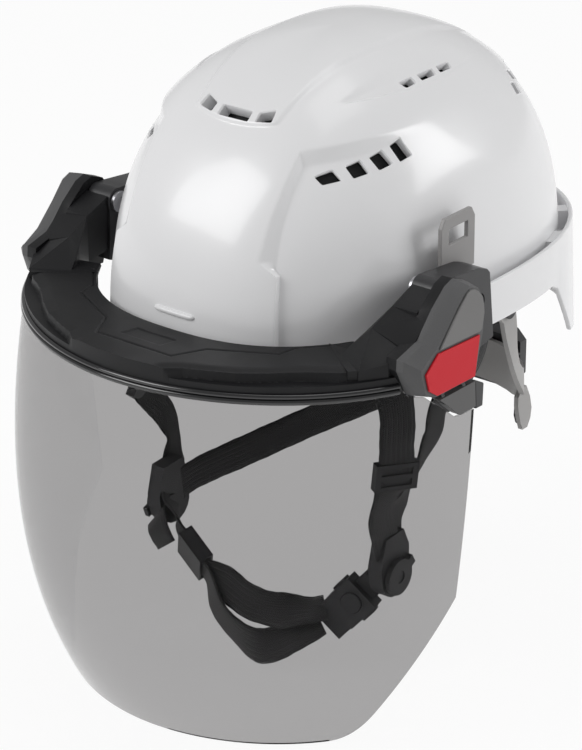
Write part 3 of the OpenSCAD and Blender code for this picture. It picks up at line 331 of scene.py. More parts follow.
# %% Shield material
shield_tint = bpy.data.materials.new("shield_tint")
shield_tint.use_nodes = True
tint_tree = shield_tint.node_tree
tint_glass = tint_tree.nodes["Principled BSDF"]
tint_glass.inputs["Roughness"].default_value = 0.0
tint_glass.inputs["IOR"].default_value = 1.12
tint_glass.inputs["Transmission Weight"].default_value = 1.0
tint_filter = tint_tree.nodes.new("ShaderNodeBsdfTransparent")
tint_filter.inputs["Color"].default_value = (0.55, 0.545, 0.545, 1.0)
tint_mix = tint_tree.nodes.new("ShaderNodeMixShader")
tint_path = tint_tree.nodes.new("ShaderNodeLightPath")
tint_again = math_node(tint_tree, "GREATER_THAN", tint_path.outputs["Transmission Depth"], 1.5)
tint_layer = tint_tree.nodes.new("ShaderNodeMix")
tint_layer.data_type = "RGBA"
tint_layer.inputs["A"].default_value = (0.385, 0.38, 0.38, 1.0)
tint_layer.inputs["B"].default_value = (0.95, 0.95, 0.95, 1.0)
tint_tree.links.new(tint_again, tint_layer.inputs["Factor"])
tint_tree.links.new(tint_layer.outputs["Result"], tint_glass.inputs["Base Color"])
tint_tree.links.new(tint_path.outputs["Is Shadow Ray"], tint_mix.inputs["Fac"])
tint_tree.links.new(tint_glass.outputs["BSDF"], tint_mix.inputs[1])
tint_tree.links.new(tint_filter.outputs["BSDF"], tint_mix.inputs[2])
tint_tree.links.new(tint_mix.outputs["Shader"], tint_tree.nodes["Material Output"].inputs["Surface"])

# %% [markdown]
# ## The shell
# The shell is one injection moulding. Its plan is an oval with slightly square shoulders and its upright
# sections are the same kind of curve, so both come from sines and cosines raised to a power a little under
# one. On top of that smooth body lie the designed forms: recessed side panels behind a chamfer, a raised
# crest along the crown with a lip at its front, a shallow scallop beside the crest and a recess at the back.

# %% The shell's body
HALF_W, FRONT, REAR, HIGH, CENTRE_Y = 101.0, 139.0, 143.0, 141.5, 3.0
WALL = 6.2


def shell_plan(u, off=0.0):
    """Plan point at azimuth u in degrees: x = half width * sin(u)^0.8, y = centre - reach * cos(u)^0.8."""
    s, c = np.sin(np.radians(u)), np.cos(np.radians(u))
    reach = np.where(c > 0, FRONT, REAR) + off
    return (HALF_W + off) * signed_power(s, 0.8), CENTRE_Y - reach * signed_power(c, 0.8)


def dome(u, v, off=0.0):
    """Shell point at azimuth u, latitude v: the plan shrinks as cos(v)^e and the height grows as sin(v)^e."""
    e = 0.81 + 0.14 * np.maximum(0, np.cos(np.radians(u))) ** 6
    c = np.maximum(np.cos(np.radians(v)), 0) ** e
    x, y = shell_plan(u, off)
    z = (HIGH + off) * np.maximum(np.sin(np.radians(v)), 0) ** e
    return np.stack(np.broadcast_arrays(x * c, CENTRE_Y + (y - CENTRE_Y) * c, z), -1)


# %% The forms on the shell
def ramp(t, soft=0.12):
    """A straight ramp from 0 to 1 whose two corners are rounded over the soft share of its length."""
    t = np.clip(t, -soft, 1 + soft)
    low = np.where(t < soft, (t + soft) ** 2 / (4 * soft), t)
    return np.where(t > 1 - soft, 1 - (1 + soft - t) ** 2 / (4 * soft), low)


def side_panel(a, v):
    """0 outside the panel, 1 on its floor: the lesser of a ramp from its front edge and one from its top."""
    outer = table(v, [(0, 28.7), (17.1, 28.6), (20.3, 22.7), (29, 25), (37.2, 28.5), (45.1, 32.5), (60, 41)])
    inner = table(v, [(0, 29.7), (17, 29.6), (18.4, 27.9), (26, 28.8), (34.8, 31.1), (41.7, 34.5), (60, 44)])
    top = table(a, [(0, 45.1), (32.5, 45.4), (60, 46.3), (90, 46.3)])
    floor = table(a, [(0, 41.7), (34.5, 41.8), (60, 43.2), (90, 44.0)])
    front_ramp = (a - outer) / (inner - outer)
    top_ramp = (top - v) / (top - floor)
    start, end = table(v, [(0, 78), (20, 70), (46, 50)]), table(v, [(0, 112), (20, 106), (46, 84)])
    return ramp(np.minimum(front_ramp, top_ramp)) * (1 - step(a, start, end))


def crest(x, y, a, v):
    """The crown's raised field: inside the ridge lines, above the front lip, fading out behind the crown."""
    half = table(y, [(-95, 24.4), (-82, 25.2), (-45, 29.5), (0, 32.5), (60, 30), (100, 26)])
    lip = table(a, [(0, 50.7), (7, 51.0), (14, 51.4), (21, 52.1), (30, 53)])
    across = 1 - ramp((np.abs(x) - half) / 2.6, 0.2)
    return across * ramp((v - lip) / 0.9, 0.2) * (1 - step(y, 55, 110))


def scallop(a, v):
    """A shallow hollow beside the crest, pinched to a point at its front."""
    upper = table(a, [(40, 56.5), (45.7, 57.7), (57.5, 61.5), (76.7, 66.4), (93.6, 68.9), (122.4, 65.1)])
    lower = table(a, [(40, 58.9), (45.7, 57.7), (68.2, 57.5), (86.3, 56.4), (100.8, 56.4), (122.4, 57.2)])
    t = (v - lower) / np.maximum(upper - lower, 0.05)
    bowl = np.minimum(np.clip(t / 0.14, 0, 1), np.clip((1 - t) / 0.5, 0, 1))
    return bowl * step(a, 45, 60) * (1 - step(a, 104, 120))


def back_recess(a, v):
    """A recess across the nape side, below the rear slots."""
    edge = table(v, [(0, 127.5), (18, 128.6), (29, 130.2), (40, 131.6), (46, 138)])
    top = table(a, [(120, 41.2), (131, 43.6), (142, 45.6), (180, 47.5)])
    return ramp(np.minimum((a - edge) / 2.4, (top - v) / 2.2), 0.2)


def relief(u, v):
    """Millimetres added to the body along its offset: crest up, panel, scallop and back recess down."""
    a = np.abs((u + 180) % 360 - 180)
    p = dome(u, v)
    raised = 1.4 * crest(p[..., 0], p[..., 1], a, v)
    return raised - 3.7 * side_panel(a, v) - 1.1 * scallop(a, v) - 1.8 * back_recess(a, v)


# %% Sampling lines: finer where the forms are
def uneven(low, high, count, places):
    """count values from low to high, packed closer round each (place, width, weight)."""
    t = np.linspace(low, high, 4000)
    density = 1 + sum(w * np.exp(-((t - c) / s) ** 2) for c, s, w in places)
    total = np.concatenate([[0], np.cumsum((density[1:] + density[:-1]) / 2)])
    return np.interp(np.linspace(0, total[-1], count), total, t)


azimuth = uneven(-180, 180, 441,
                 [(-28, 6, 3.5), (28, 6, 3.5), (-130, 4, 1.5), (130, 4, 1.5), (0, 22, 0.8)])[:-1]
latitude = uneven(0, 89.4, 150, [(18.5, 2.5, 3), (44.5, 2.5, 2), (51.8, 2.0, 5), (57, 3, 2)])


def rim_height(y):
    """Height of the shell's lower edge over its length: nearly level."""
    return table(y, [(-150, 0), (-90, -1), (8, -4), (66, -5), (220, -9)])


def skirt_height(y):
    """Height of the gutter wall's lower edge: level at the sides, then down to the nape."""
    return table(y, [(-150, 0), (-90, -1), (8, -4), (66, -5), (74, -9), (97, -44), (108, -46), (200, -46)])


# %% Outer face, rounded edge and inner face in one closed grid
u_grid, v_grid = np.meshgrid(azimuth, latitude)
outer_face = dome(u_grid, v_grid, relief(u_grid, v_grid))[::-1]
wall_share = np.linspace(0, 1, 13)[1:, None]


def wall_rows(off, shares):
    """Rows straight down from the body's widest line to just above its lower edge."""
    base = dome(azimuth, 0 * azimuth, off)
    low = rim_height(base[:, 1]) + 0.7
    z = shares * low[None, :]
    return np.stack([np.broadcast_to(base[:, 0], z.shape), np.broadcast_to(base[:, 1], z.shape), z], -1)


wall_out = wall_rows(relief(azimuth, 0 * azimuth), wall_share)
edge_rows = []
for turn in np.radians([30, 60, 90]):
    row = wall_out[-1].copy()
    inward = dome(azimuth, 0 * azimuth, -1.0) - dome(azimuth, 0 * azimuth, 0.0)
    row += inward * 0.9 * (1 - math.cos(turn))
    row[:, 2] -= 0.9 * math.sin(turn)
    edge_rows.append(row)
wall_in = wall_rows(-WALL, np.linspace(1, 0, 9)[:, None])
wall_in[0, :, 2] -= 0.2
inner_u, inner_v = np.meshgrid(azimuth, np.linspace(0, 89.4, 28)[1:])
inner_face = dome(inner_u, inner_v, -WALL)
shell_points = np.concatenate([outer_face, wall_out, np.array(edge_rows), wall_in, inner_face])
rows, cols = shell_points.shape[:2]
shell_faces = [list(f) for f in grid_faces(rows, cols, wrap_cols=True)]
flat_points = shell_points.reshape(-1, 3)
poles = np.array([[0, CENTRE_Y, HIGH + 1.4], [0, CENTRE_Y, HIGH - WALL]])
first, last = len(flat_points), len(flat_points) + 1
shell_faces += [[first, (j + 1) % cols, j] for j in range(cols)]
shell_faces += [[last, (rows - 1) * cols + j, (rows - 1) * cols + (j + 1) % cols] for j in range(cols)]
helmet_shell = mesh_object("helmet_shell", np.concatenate([flat_points, poles]), shell_faces)
print("shell faces:", len(helmet_shell.data.polygons))

# %% [markdown]
# ## Vent slots
# Each slot is a short straight tunnel with a small chamfer round its mouth. One cutter is a stack of rounded
# four-sided rings: narrow through the wall, wider just above the surface.

# %% Cutters for the slots
FRONT_SLOTS = [
    [(-16.4, 52.6), (-16.7, 55.8), (-9.6, 54.6), (-9.2, 52.2)],
    [(-5.2, 51.9), (-5.5, 54.6), (5.5, 54.6), (5.2, 51.9)],
    [(9.2, 52.2), (9.6, 54.6), (16.7, 55.8), (16.4, 52.6)]]
SIDE_SLOTS = [
    [(39.1, 39.1), (45.8, 40.2), (49.2, 37.2), (42.2, 36.8)],
    [(50.8, 40.6), (56.1, 41.6), (59.2, 37.7), (53.7, 37.2)],
    [(59.9, 41.8), (64.5, 42.8), (67.8, 38.5), (63.2, 37.8)],
    [(67.8, 43.4), (71.8, 44.4), (74.7, 39.1), (70.7, 38.4)],
    [(80.4, 60.6), (86.4, 60.9), (86.8, 58.6), (82.4, 58.3)],
    [(89.2, 60.9), (94.4, 60.9), (94.0, 58.6), (89.4, 58.6)],
    [(97.4, 60.9), (104.2, 60.4), (102.6, 58.3), (96.6, 58.6)],
    [(139.6, 47.6), (144.2, 46.2), (141.8, 43.6), (137.6, 45.0)],
    [(131.4, 46.4), (135.6, 45.2), (133.4, 42.4), (129.4, 43.6)],
    [(124.4, 43.6), (128.4, 42.6), (126.2, 39.4), (122.4, 40.4)]]


SLOT_ROUND = 0.9


def slot_ring(corners):
    """Round each corner: the points t along a quadratic curve from one edge to the next, near the corner."""
    ring = []
    for k in range(len(corners)):
        here, before, after = corners[k], corners[k - 1], corners[(k + 1) % len(corners)]
        a = here + (before - here) * min(0.45, SLOT_ROUND / np.linalg.norm(before - here))
        b = here + (after - here) * min(0.45, SLOT_ROUND / np.linalg.norm(after - here))
        ring += [(1 - t) ** 2 * a + 2 * t * (1 - t) * here + t * t * b for t in (0, 0.33, 0.67, 1)]
    return np.array(ring)


def slot_cutter(corners, turn):
    """Points and faces of one cutter, pushed along the slot's mean direction."""
    uv = np.array(corners) * [turn, 1]
    surface = dome(uv[:, 0], uv[:, 1], relief(uv[:, 0], uv[:, 1]))
    deep = dome(uv[:, 0], uv[:, 1], -9.0)
    inward = deep.mean(0) - surface.mean(0)
    inward /= np.linalg.norm(inward)
    ring = slot_ring(surface)
    middle = ring.mean(0)
    wide = 1 + 0.75 / np.linalg.norm(ring - middle, axis=1, keepdims=True)
    wider = 1 + 3.2 / np.linalg.norm(ring - middle, axis=1, keepdims=True)
    stack = np.array([ring + inward * 9.5, ring + inward * 0.75, middle + (ring - middle) * wide,
                      middle + (ring - middle) * wider - inward * 2.6])
    n = ring.shape[0]
    faces = [list(f) for f in grid_faces(4, n, wrap_cols=True)]
    faces += [list(range(n)), list(range(4 * n - 1, 3 * n - 1, -1))]
    return stack.reshape(-1, 3), faces


cutter_points, cutter_faces = [], []
for slots, turns in ((FRONT_SLOTS, (1,)), (SIDE_SLOTS, (1, -1))):
    for corners in slots:
        for turn in turns:
            pts, fcs = slot_cutter(corners, turn)
            start = sum(len(p) for p in cutter_points)
            cutter_points.append(pts)
            cutter_faces += [[i + start for i in f] for f in fcs]
cutter = mesh_object("slot_cutters", np.concatenate(cutter_points), cutter_faces)
cut = helmet_shell.modifiers.new("slots", "BOOLEAN")
cut.operation = "DIFFERENCE"
cut.object = cutter
cut.solver = "MANIFOLD"
applied(helmet_shell)
bpy.data.objects.remove(cutter)
smooth(helmet_shell, 28)
seat(helmet_shell, "helmet", "shell_white", white_gloss, "shell")
print("shell with slots:", len(helmet_shell.data.polygons), "faces")

# %% [markdown]
# ## Rain gutter and nape skirt
# A second wall runs round the back half, a few millimetres outside the shell. Water collects in the channel
# between them. Its section is a thin plate with a rounded top; its lower edge follows the shell's edge and
# flares outward at the nape. Solid bridges tie it to the shell.

# %% Gutter wall
ARC_STEPS = 4


def rounded_bar(width, height, radius):
    """Closed outline of a bar, x from 0 to width, y from 0 to height, its corners rounded."""
    out = []
    for cx, cy, start in ((width - radius, height - radius, 0), (radius, height - radius, 90),
                          (radius, radius, 180), (width - radius, radius, 270)):
        for k in range(ARC_STEPS + 1):
            t = math.radians(start + 90 * k / ARC_STEPS)
            out.append((cx + radius * math.cos(t), cy + radius * math.sin(t)))
    return np.array(out)


def ring_strip(name, azimuths, out_low, out_high, z_low, z_high, radius=1.0, flare=0.0):
    """A wall that follows the plan: its section runs from offset out_low to out_high and z_low to z_high."""
    width = out_high - out_low
    stations = []
    for u in azimuths:
        _, y0 = shell_plan(u, out_high)
        low = z_low(y0) if callable(z_low) else z_low
        high = z_high(y0) if callable(z_high) else z_high
        section = rounded_bar(width, high - low, min(radius, width * 0.49))
        lean = flare * np.clip((section[:, 1] * -1 + 16) / 16, 0, 1) ** 2 * step(y0, 70, 104)
        x, y = shell_plan(u, out_low + section[:, 0] + lean)
        stations.append(np.stack([x, y, low + section[:, 1]], -1))
    points = np.array(stations)
    return mesh_object(name, points, tube_faces(*points.shape[:2]))


GUTTER_START = 84.4
gutter_line = uneven(GUTTER_START, 360 - GUTTER_START, 260, [(120, 15, 1), (240, 15, 1)])
gutter_wall = ring_strip("gutter_wall", gutter_line, 4.5, 7.0, skirt_height, 21.0, 1.0, flare=3.0)
gutter_floor = ring_strip("gutter_floor", gutter_line, -0.6, 5.5, 4.6, 7.6, 0.6)
bridge_spans = [(84.6, 88), (113, 121), (137, 142), (160, 172),
                (188, 200), (218, 223), (239, 247), (272, 275.4)]
bridges = [ring_strip(f"bridge_{k}", np.linspace(a, b, 10), -0.8, 5.4, 7.0, 18.6, 0.9)
           for k, (a, b) in enumerate(bridge_spans)]
for part in (gutter_wall, gutter_floor, *bridges):
    smooth(part, 40)
    seat(part, "helmet", "shell_white", white_gloss, "shell")

# %% Brow rib
rib_u = np.linspace(-4.6, 4.6, 40)
rib_turn = np.linspace(0, 2 * math.pi, 17)[:-1]
rib_end = np.sqrt(np.clip(1 - (rib_u / 4.63) ** 8, 0, 1))
rib_at = dome(rib_u, 7.6 + 0 * rib_u)
rib_out = dome(rib_u, 7.6 + 0 * rib_u, 1.0) - rib_at
rib_points = (rib_at[:, None] + rib_end[:, None, None] * (
    1.9 * np.cos(rib_turn)[None, :, None] * rib_out[:, None]
    + 1.7 * np.sin(rib_turn)[None, :, None] * np.array([0, 0, 1.0])))
rib_faces = [list(f) for f in grid_faces(40, 16, wrap_cols=True)]
brow_rib = smooth(mesh_object("brow_rib", rib_points, rib_faces), 60)
seat(brow_rib, "helmet", "shell_white", white_gloss, "shell")

# %% [markdown]
# ## The face shield
# The shield is a thermoformed sheet, curved both ways: nearly a half circle in plan, and bowed forward at
# half height. Two angles-and-heights formulas give its width and reach at every level, the sheet is the
# ellipse through them, and its thickness is a second copy two millimetres inside.

# %% Shield surface
EDGE_Y, SHEET = -58.0, 2.0
LENS_TOP, LENS_LOW = 1.0, -206.0


def lens(q, z, off=0.0):
    """Point at sweep q (0 in front, 90 at the wearer's left) and height z; t is the share of the way down."""
    t = (6 - z) / 211.0
    half = 137.4 - 6.5 * t - 12.6 * t * t + off
    reach = 123.6 - 12 * t + 116 * t * (1 - t) + off
    x = half * signed_power(np.sin(np.radians(q)), 1.02)
    y = EDGE_Y - reach * signed_power(np.cos(np.radians(q)), 1.02)
    return np.stack(np.broadcast_arrays(x, y, z), -1)


def lens_upper(y):
    """Height of the top edge: level behind the seal, then down under the pods and levers."""
    return table(y, [(-300, 1.0), (-106.5, 1.0), (-104, -2.4), (-93, -6.0), (-71.6, -23.4), (-50, -24.0)])


def lens_lower(q):
    """Height of the bottom edge: a straight diagonal up to the side edge, blended softly into the level."""
    slope = -137.0 - 134 * np.cos(np.radians(q))
    h = np.clip(0.5 + 0.5 * (LENS_LOW - slope) / 14, 0, 1)
    low = slope * (1 - h) + LENS_LOW * h + 14 * h * (1 - h)
    return np.maximum(LENS_LOW, np.minimum(low, -137.0 + 9 * step(np.abs(q), 86, 90)))


sweep = uneven(-90, 90, 241, [(-80, 10, 1.2), (80, 10, 1.2), (-60, 4, 1), (60, 4, 1)])
lens_rows = np.linspace(0, 1, 101)[:, None]
edge_y = lens(sweep, 0.0)[:, 1]
lens_z = lens_upper(edge_y) * (1 - lens_rows) + lens_lower(sweep) * lens_rows
lens_out = lens(sweep[None, :], lens_z)
lens_in = lens(sweep[None, :], lens_z, -SHEET)
lens_n = lens_out.shape[0] * lens_out.shape[1]
front = grid_faces(101, 241)
lens_faces = [list(f) for f in front] + [list(f[::-1] + lens_n) for f in front]
border = np.concatenate([np.arange(241), 241 * np.arange(1, 101) + 240,
                         100 * 241 + np.arange(239, -1, -1), 241 * np.arange(99, 0, -1)])
lens_faces += [[a, b, b + lens_n, a + lens_n] for a, b in zip(border, np.roll(border, -1))]
lens_points = np.concatenate([lens_out.reshape(-1, 3), lens_in.reshape(-1, 3)])
shield = mesh_object("shield_sheet", lens_points, lens_faces)
smooth(shield, 40)
seat(shield, "visor", "shield_tint", shield_tint, "face_shield")

# %% [markdown]
# ## The seal along the shield's top
# A glossy rubber bead grips the sheet's top edge. Its section has two rolls with a groove between, carried
# along the shield's own curve.

# %% Seal sweep
LIP_STATIONS = 200


def along_lip(name, section, q_low, q_high):
    """A section of (offset, height) points carried along the shield's top curve."""
    qs = np.linspace(q_low, q_high, LIP_STATIONS)
    points = np.array([lens(q, LENS_TOP, section[:, 0]) for q in qs])
    points[:, :, 2] = section[:, 1]
    return mesh_object(name, points, tube_faces(LIP_STATIONS, len(section)))


SEAL_Q = 66.0
seal_turn = np.radians(np.arange(0, 360, 24))
upper_roll = np.stack([-0.9 + 2.0 * np.cos(seal_turn), 4.1 + 1.5 * np.sin(seal_turn)], -1)
lower_roll = np.stack([0.1 + 1.3 * np.cos(seal_turn), 1.3 + 1.5 * np.sin(seal_turn)], -1)
inner_bar = rounded_bar(5.0, 3.6, 0.6) + [-5.2, 1.2]
seal_upper = along_lip("seal_upper_roll", upper_roll, -SEAL_Q, SEAL_Q)
seal_lower = along_lip("seal_lower_roll", lower_roll, -SEAL_Q, SEAL_Q)
seal_inner = along_lip("seal_inner_bar", inner_bar, -SEAL_Q, SEAL_Q)
for part in (seal_upper, seal_lower, seal_inner):
    smooth(part, 50)
    seat(part, "visor", "seal_gloss", seal_black, "lens_seal")

# %% [markdown]
# ## Brow guard
# The guard's front is a stepped ledge: a low flange out to the seal, a raised platform with a broken
# outline, a fine engraved line that follows it and a bare recessed panel in the middle. A height worked out
# from distances to those outlines gives crisp steps on one continuous sheet.

# %% Distances to outlines
def segment_distance(px, py, line):
    """Shortest distance from each point to a chain of straight pieces."""
    best = np.full(px.shape, 1e9)
    for (ax, ay), (bx, by) in zip(line[:-1], line[1:]):
        dx, dy = bx - ax, by - ay
        if dx == dy == 0:
            continue
        t = np.clip(((px - ax) * dx + (py - ay) * dy) / (dx * dx + dy * dy), 0, 1)
        best = np.minimum(best, np.hypot(px - ax - t * dx, py - ay - t * dy))
    return best


def inside(px, py, outline):
    """True where a point lies in the closed outline: it counts the sides crossed by a line to the right."""
    hit = np.zeros(px.shape, bool)
    for (ax, ay), (bx, by) in zip(outline, outline[1:] + outline[:1]):
        crosses = (ay > py) != (by > py)
        with np.errstate(divide="ignore", invalid="ignore"):
            x = ax + (py - ay) * (bx - ax) / (by - ay if by != ay else 1e-9)
        hit ^= crosses & (px < x)
    return hit


def signed_distance(px, py, outline):
    """Distance to the outline, positive inside it."""
    d = segment_distance(px, py, outline + outline[:1])
    return np.where(inside(px, py, outline), d, -d)


def mirrored(half):
    """A left-right symmetric outline from its half with x at or above 0, listed from front to back."""
    return [(-x, y) for x, y in half][::-1] + half


FLANGE_TOP, PLATFORM_TOP = 9.0, 14.5
platform = mirrored([(30, -190), (31, -180.5), (38.7, -174.3), (50, -169.5), (63.8, -163), (77, -153),
                     (90, -141), (105, -131), (116, -119), (120, -108), (122, -90)])
groove_line = mirrored([(25, -167), (34, -149.5), (67, -132), (69, -121), (84, -104)])
panel_line = [(-15, -160), (-12, -150), (15, -150), (12, -160)]


def guard_top(x, y):
    """Height of the ledge: flange, plus platform behind a steep edge, less the groove and the bare recess."""
    d = signed_distance(x, y, platform)
    rise = 0.80 * ramp(d / 0.9, 0.15) + 0.20 * ramp((d - 1) / 5.0, 0.3)
    z = FLANGE_TOP + (PLATFORM_TOP - FLANGE_TOP) * rise
    z -= 0.9 * np.exp(-(segment_distance(x, y, groove_line) / 0.55) ** 2)
    z -= 0.55 * ramp(signed_distance(x, y, panel_line) / 0.5, 0.3)
    return z


# %% The ledge
plan_u = np.linspace(0, 80, 400)
LEDGE_END = np.interp(-95.5, shell_plan(plan_u, 4.0)[1], plan_u)
LIP_END = 67.2
ledge_u = np.linspace(-LEDGE_END, LEDGE_END, 620)
inner_x, inner_y = shell_plan(ledge_u, 4.0)
share = np.linspace(0, 1, 96)
lip = lens(ledge_u * LIP_END / LEDGE_END, LENS_TOP, -1.0)
ledge_x = inner_x[:, None] * (1 - share) + lip[:, 0][:, None] * share
ledge_y = inner_y[:, None] * (1 - share) + lip[:, 1][:, None] * share
ledge_z = guard_top(ledge_x, ledge_y)
inner_round = 1.2 * (1 - np.sqrt(np.clip(1 - (1 - share / 0.02).clip(0, 1) ** 2, 0, 1)))
ledge_z = ledge_z - inner_round[None, :]
under_arms = (np.abs(ledge_x) - 84) * 20 + (ledge_y + 110) * 26 > 0
ledge_z = ledge_z - 0.2 * under_arms
top_sheet = np.stack([ledge_x, ledge_y, ledge_z], -1)
under = top_sheet[:, ::-1].copy()
under[:, :, 2] = 5.0
under = under[:, ::8]
section_rows = np.concatenate([top_sheet, under], 1)
ledge_faces = tube_faces(*section_rows.shape[:2])
guard_ledge = smooth(mesh_object("guard_ledge", section_rows, ledge_faces), 38)
seat(guard_ledge, "visor", "frame_black", guard_black, "brow_guard")

# %% [markdown]
# ## Hard parts with rounded edges
# Blocks, clips, pods, levers and buckles keep their CAD form. A copy of the CAD mesh is merged, its flat
# faces joined, and a narrow bevel rounds every edge: without it no edge would catch the light.

# %% Softened copies
def softened(name, node, body, slot, material, radius=0.5, segments=3, angle=28.0, keep=None,
             crease=0.0):
    """A copy of a CAD node with its edges rounded by the radius, in millimetres.

    A crease angle keeps facets that meet at more than it flat, for forms that are lofted between rings.
    """
    piece = bpy.data.objects.new(name, cad[node].data.copy())
    bpy.context.scene.collection.objects.link(piece)
    solid = bmesh.new()
    solid.from_mesh(piece.data)
    bmesh.ops.remove_doubles(solid, verts=solid.verts, dist=2e-6)
    if keep:
        point, normal = keep
        cut_geom = solid.verts[:] + solid.edges[:] + solid.faces[:]
        bmesh.ops.bisect_plane(solid, geom=cut_geom, plane_co=Vector(point) * MM, plane_no=Vector(normal),
                               clear_outer=True)
        bmesh.ops.holes_fill(solid, edges=[e for e in solid.edges if e.is_boundary])
    bmesh.ops.dissolve_limit(solid, angle_limit=math.radians(1.0), verts=solid.verts, edges=solid.edges)
    bmesh.ops.recalc_face_normals(solid, faces=solid.faces)
    solid.to_mesh(piece.data)
    solid.free()
    # The normals that came with the CAD mesh belong to its triangles, and no longer fit the merged faces.
    if "custom_normal" in piece.data.attributes:
        piece.data.attributes.remove(piece.data.attributes["custom_normal"])
    piece.data.shade_smooth()
    if radius > 0:
        bevel = piece.modifiers.new("edges", "BEVEL")
        bevel.width = radius * MM
        bevel.segments = segments
        bevel.limit_method = "ANGLE"
        bevel.angle_limit = math.radians(angle)
        bevel.use_clamp_overlap = True
        bevel.miter_outer = "MITER_ARC"
        bevel.harden_normals = crease == 0
        applied(piece)
    if crease or radius <= 0:
        smooth(piece, crease or 35)
    return seat(piece, body, slot, material, node)


for side, turn in (("left", 1), ("right", -1)):
    softened(f"guard_arm_{side}", "brow_guard", "visor", "frame_black", guard_black, 0.5, 6, 38,
             keep=((84 * turn, -110, 0), (-20 * turn, -26, 0)), crease=26)
    softened(f"side_clip_{side}", f"clip_{side}", "helmet", "clip_grey", clip_grey, 0.5)
    softened(f"side_block_{side}", f"mount_block_{side}", "helmet", "frame_black", block_black, 1.1)
    softened(f"pod_{side}", f"pod_cover_{side}", "visor", "pod_black", pod_black, 0.4, 6, 42, crease=26)
    softened(f"pod_plate_{side}", f"pod_insert_{side}", "visor", "insert_grey", insert_grey, 0.35)
    softened(f"pod_badge_{side}", f"badge_{side}", "visor", "badge_red", badge_red, 0.3)
    softened(f"lever_{side}", f"latch_{side}", f"release_{side}", "latch_grey", latch_grey, 0.6)
    softened(f"lever_cap_{side}", f"latch_cap_{side}", f"release_{side}", "frame_black", block_black, 0.7)
    softened(f"yoke_soft_{side}", f"yoke_{side}", "helmet", "buckle_black", buckle_black, 1.2)
    softened(f"adjuster_soft_{side}", f"adjuster_{side}", "helmet", "buckle_black", buckle_black, 0.5)
    softened(f"cam_{side}", f"cam_lever_{side}", f"cam_{side[0]}", "buckle_black", buckle_black, 0.7)
    softened(f"nape_rack_{side}", f"rack_{side}", f"rack_{side[0]}", "rack_plastic", buckle_black, 0.25)

SINGLE_PARTS = [
    ("buckle_shell", "buckle_body", "helmet", "buckle_black", buckle_black, 1.2),
    ("buckle_insert", "buckle_tongue", "helmet", "buckle_black", buckle_black, 0.6),
    ("buckle_button", "release_button", "button", "buckle_black", buckle_black, 0.6),
    ("webbing_keeper", "keeper_sleeve", "keeper", "buckle_black", buckle_black, 0.8),
    ("nape_housing", "ratchet_housing", "helmet", "frame_black", block_black, 1.2),
    ("nape_knob", "ratchet_knob", "knob", "frame_black", guard_black, 0.6),
    ("nape_arms", "nape_cradle", "helmet", "latch_grey", cradle_grey, 0.6),
    ("hanger_lugs", "nape_pins", "helmet", "liner_plastic", buckle_black, 0.4),
    ("strap_blocks", "strap_anchors", "helmet", "liner_plastic", buckle_black, 0.6),
    ("inner_band", "headband", "helmet", "liner_plastic", buckle_black, 0.4),
    ("bolts_soft", "pivot_bolts", "helmet", "screw_steel", screw_steel, 0.3),
    ("screws_soft", "block_screws", "helmet", "screw_steel", screw_steel, 0.3)]
for row in SINGLE_PARTS:
    softened(*row)

# %% Nodes that keep their CAD mesh
for node, material in (("foam_liner", foam_black), ("friction_washers", screw_steel)):
    cad[node].data.materials.clear()
    cad[node].data.materials.append(material)

# %% [markdown]
# ## Straps
# A strap is a flat section carried along a smooth curve through a few points. At each point it also has a
# direction that its face looks in, so it can twist. The UV map records distance along and across, in metres
# and in shares of the width, for the weave.

# %% Strap sweep
def smooth_curve(points, count):
    """Catmull-Rom curve through the points, sampled evenly by point number."""
    p = np.asarray(points, float)
    t = np.linspace(0, len(p) - 1, count)
    i = np.minimum(t.astype(int), len(p) - 2)
    f = (t - i)[:, None]
    a, b, c, d = p[np.maximum(i - 1, 0)], p[i], p[i + 1], p[np.minimum(i + 2, len(p) - 1)]
    return 0.5 * (2 * b + (c - a) * f + (2 * a - 5 * b + 4 * c - d) * f ** 2
                  + (3 * b - a - 3 * c + d) * f ** 3)


SPAN_STATIONS, RIPPLE = 14, 0.35


def strap(name, route, facing, width=20.0, thick=1.7):
    """A woven strip: at each station, the section is a flat bar set square to the curve and to the facing."""
    count = (len(route) - 1) * SPAN_STATIONS + 1
    centre = smooth_curve(route, count)
    face = smooth_curve(facing, count)
    along = np.gradient(centre, axis=0)
    along /= np.linalg.norm(along, axis=1, keepdims=True)
    side = np.cross(along, face)
    side /= np.linalg.norm(side, axis=1, keepdims=True)
    face = np.cross(side, along)
    distance = np.concatenate([[0], np.cumsum(np.linalg.norm(np.diff(centre, axis=0), axis=1))])
    half = width / 2 + RIPPLE * np.sin(distance / 3.1) * 0.4 + RIPPLE * np.sin(distance / 1.3 + 1) * 0.25
    across = np.array([-1, -0.97, -0.6, -0.2, 0.2, 0.6, 0.97, 1, 1, 0.97, 0.6, 0.2, -0.2, -0.6, -0.97, -1])
    lift = np.array([0.25, 0.42, 0.5, 0.46, 0.46, 0.5, 0.42, 0.25]) * thick
    lift = np.concatenate([lift, -lift])
    points = (centre[:, None] + side[:, None] * (across[None, :, None] * half[:, None, None])
              + face[:, None] * lift[None, :, None])
    n = len(across)
    piece = mesh_object(name, points, tube_faces(count, n), merge=False)
    layer = piece.data.uv_layers.new(name="strip")
    station = np.repeat(distance, n) * MM
    share = np.tile((across + 1) / 2, count)
    loops = np.zeros(len(piece.data.loops), int)
    piece.data.loops.foreach_get("vertex_index", loops)
    layer.data.foreach_set("uv", np.stack([station[loops], share[loops]], -1).ravel())
    smooth(piece, 50)
    print(name, "length", round(float(distance[-1])), "mm")
    return piece


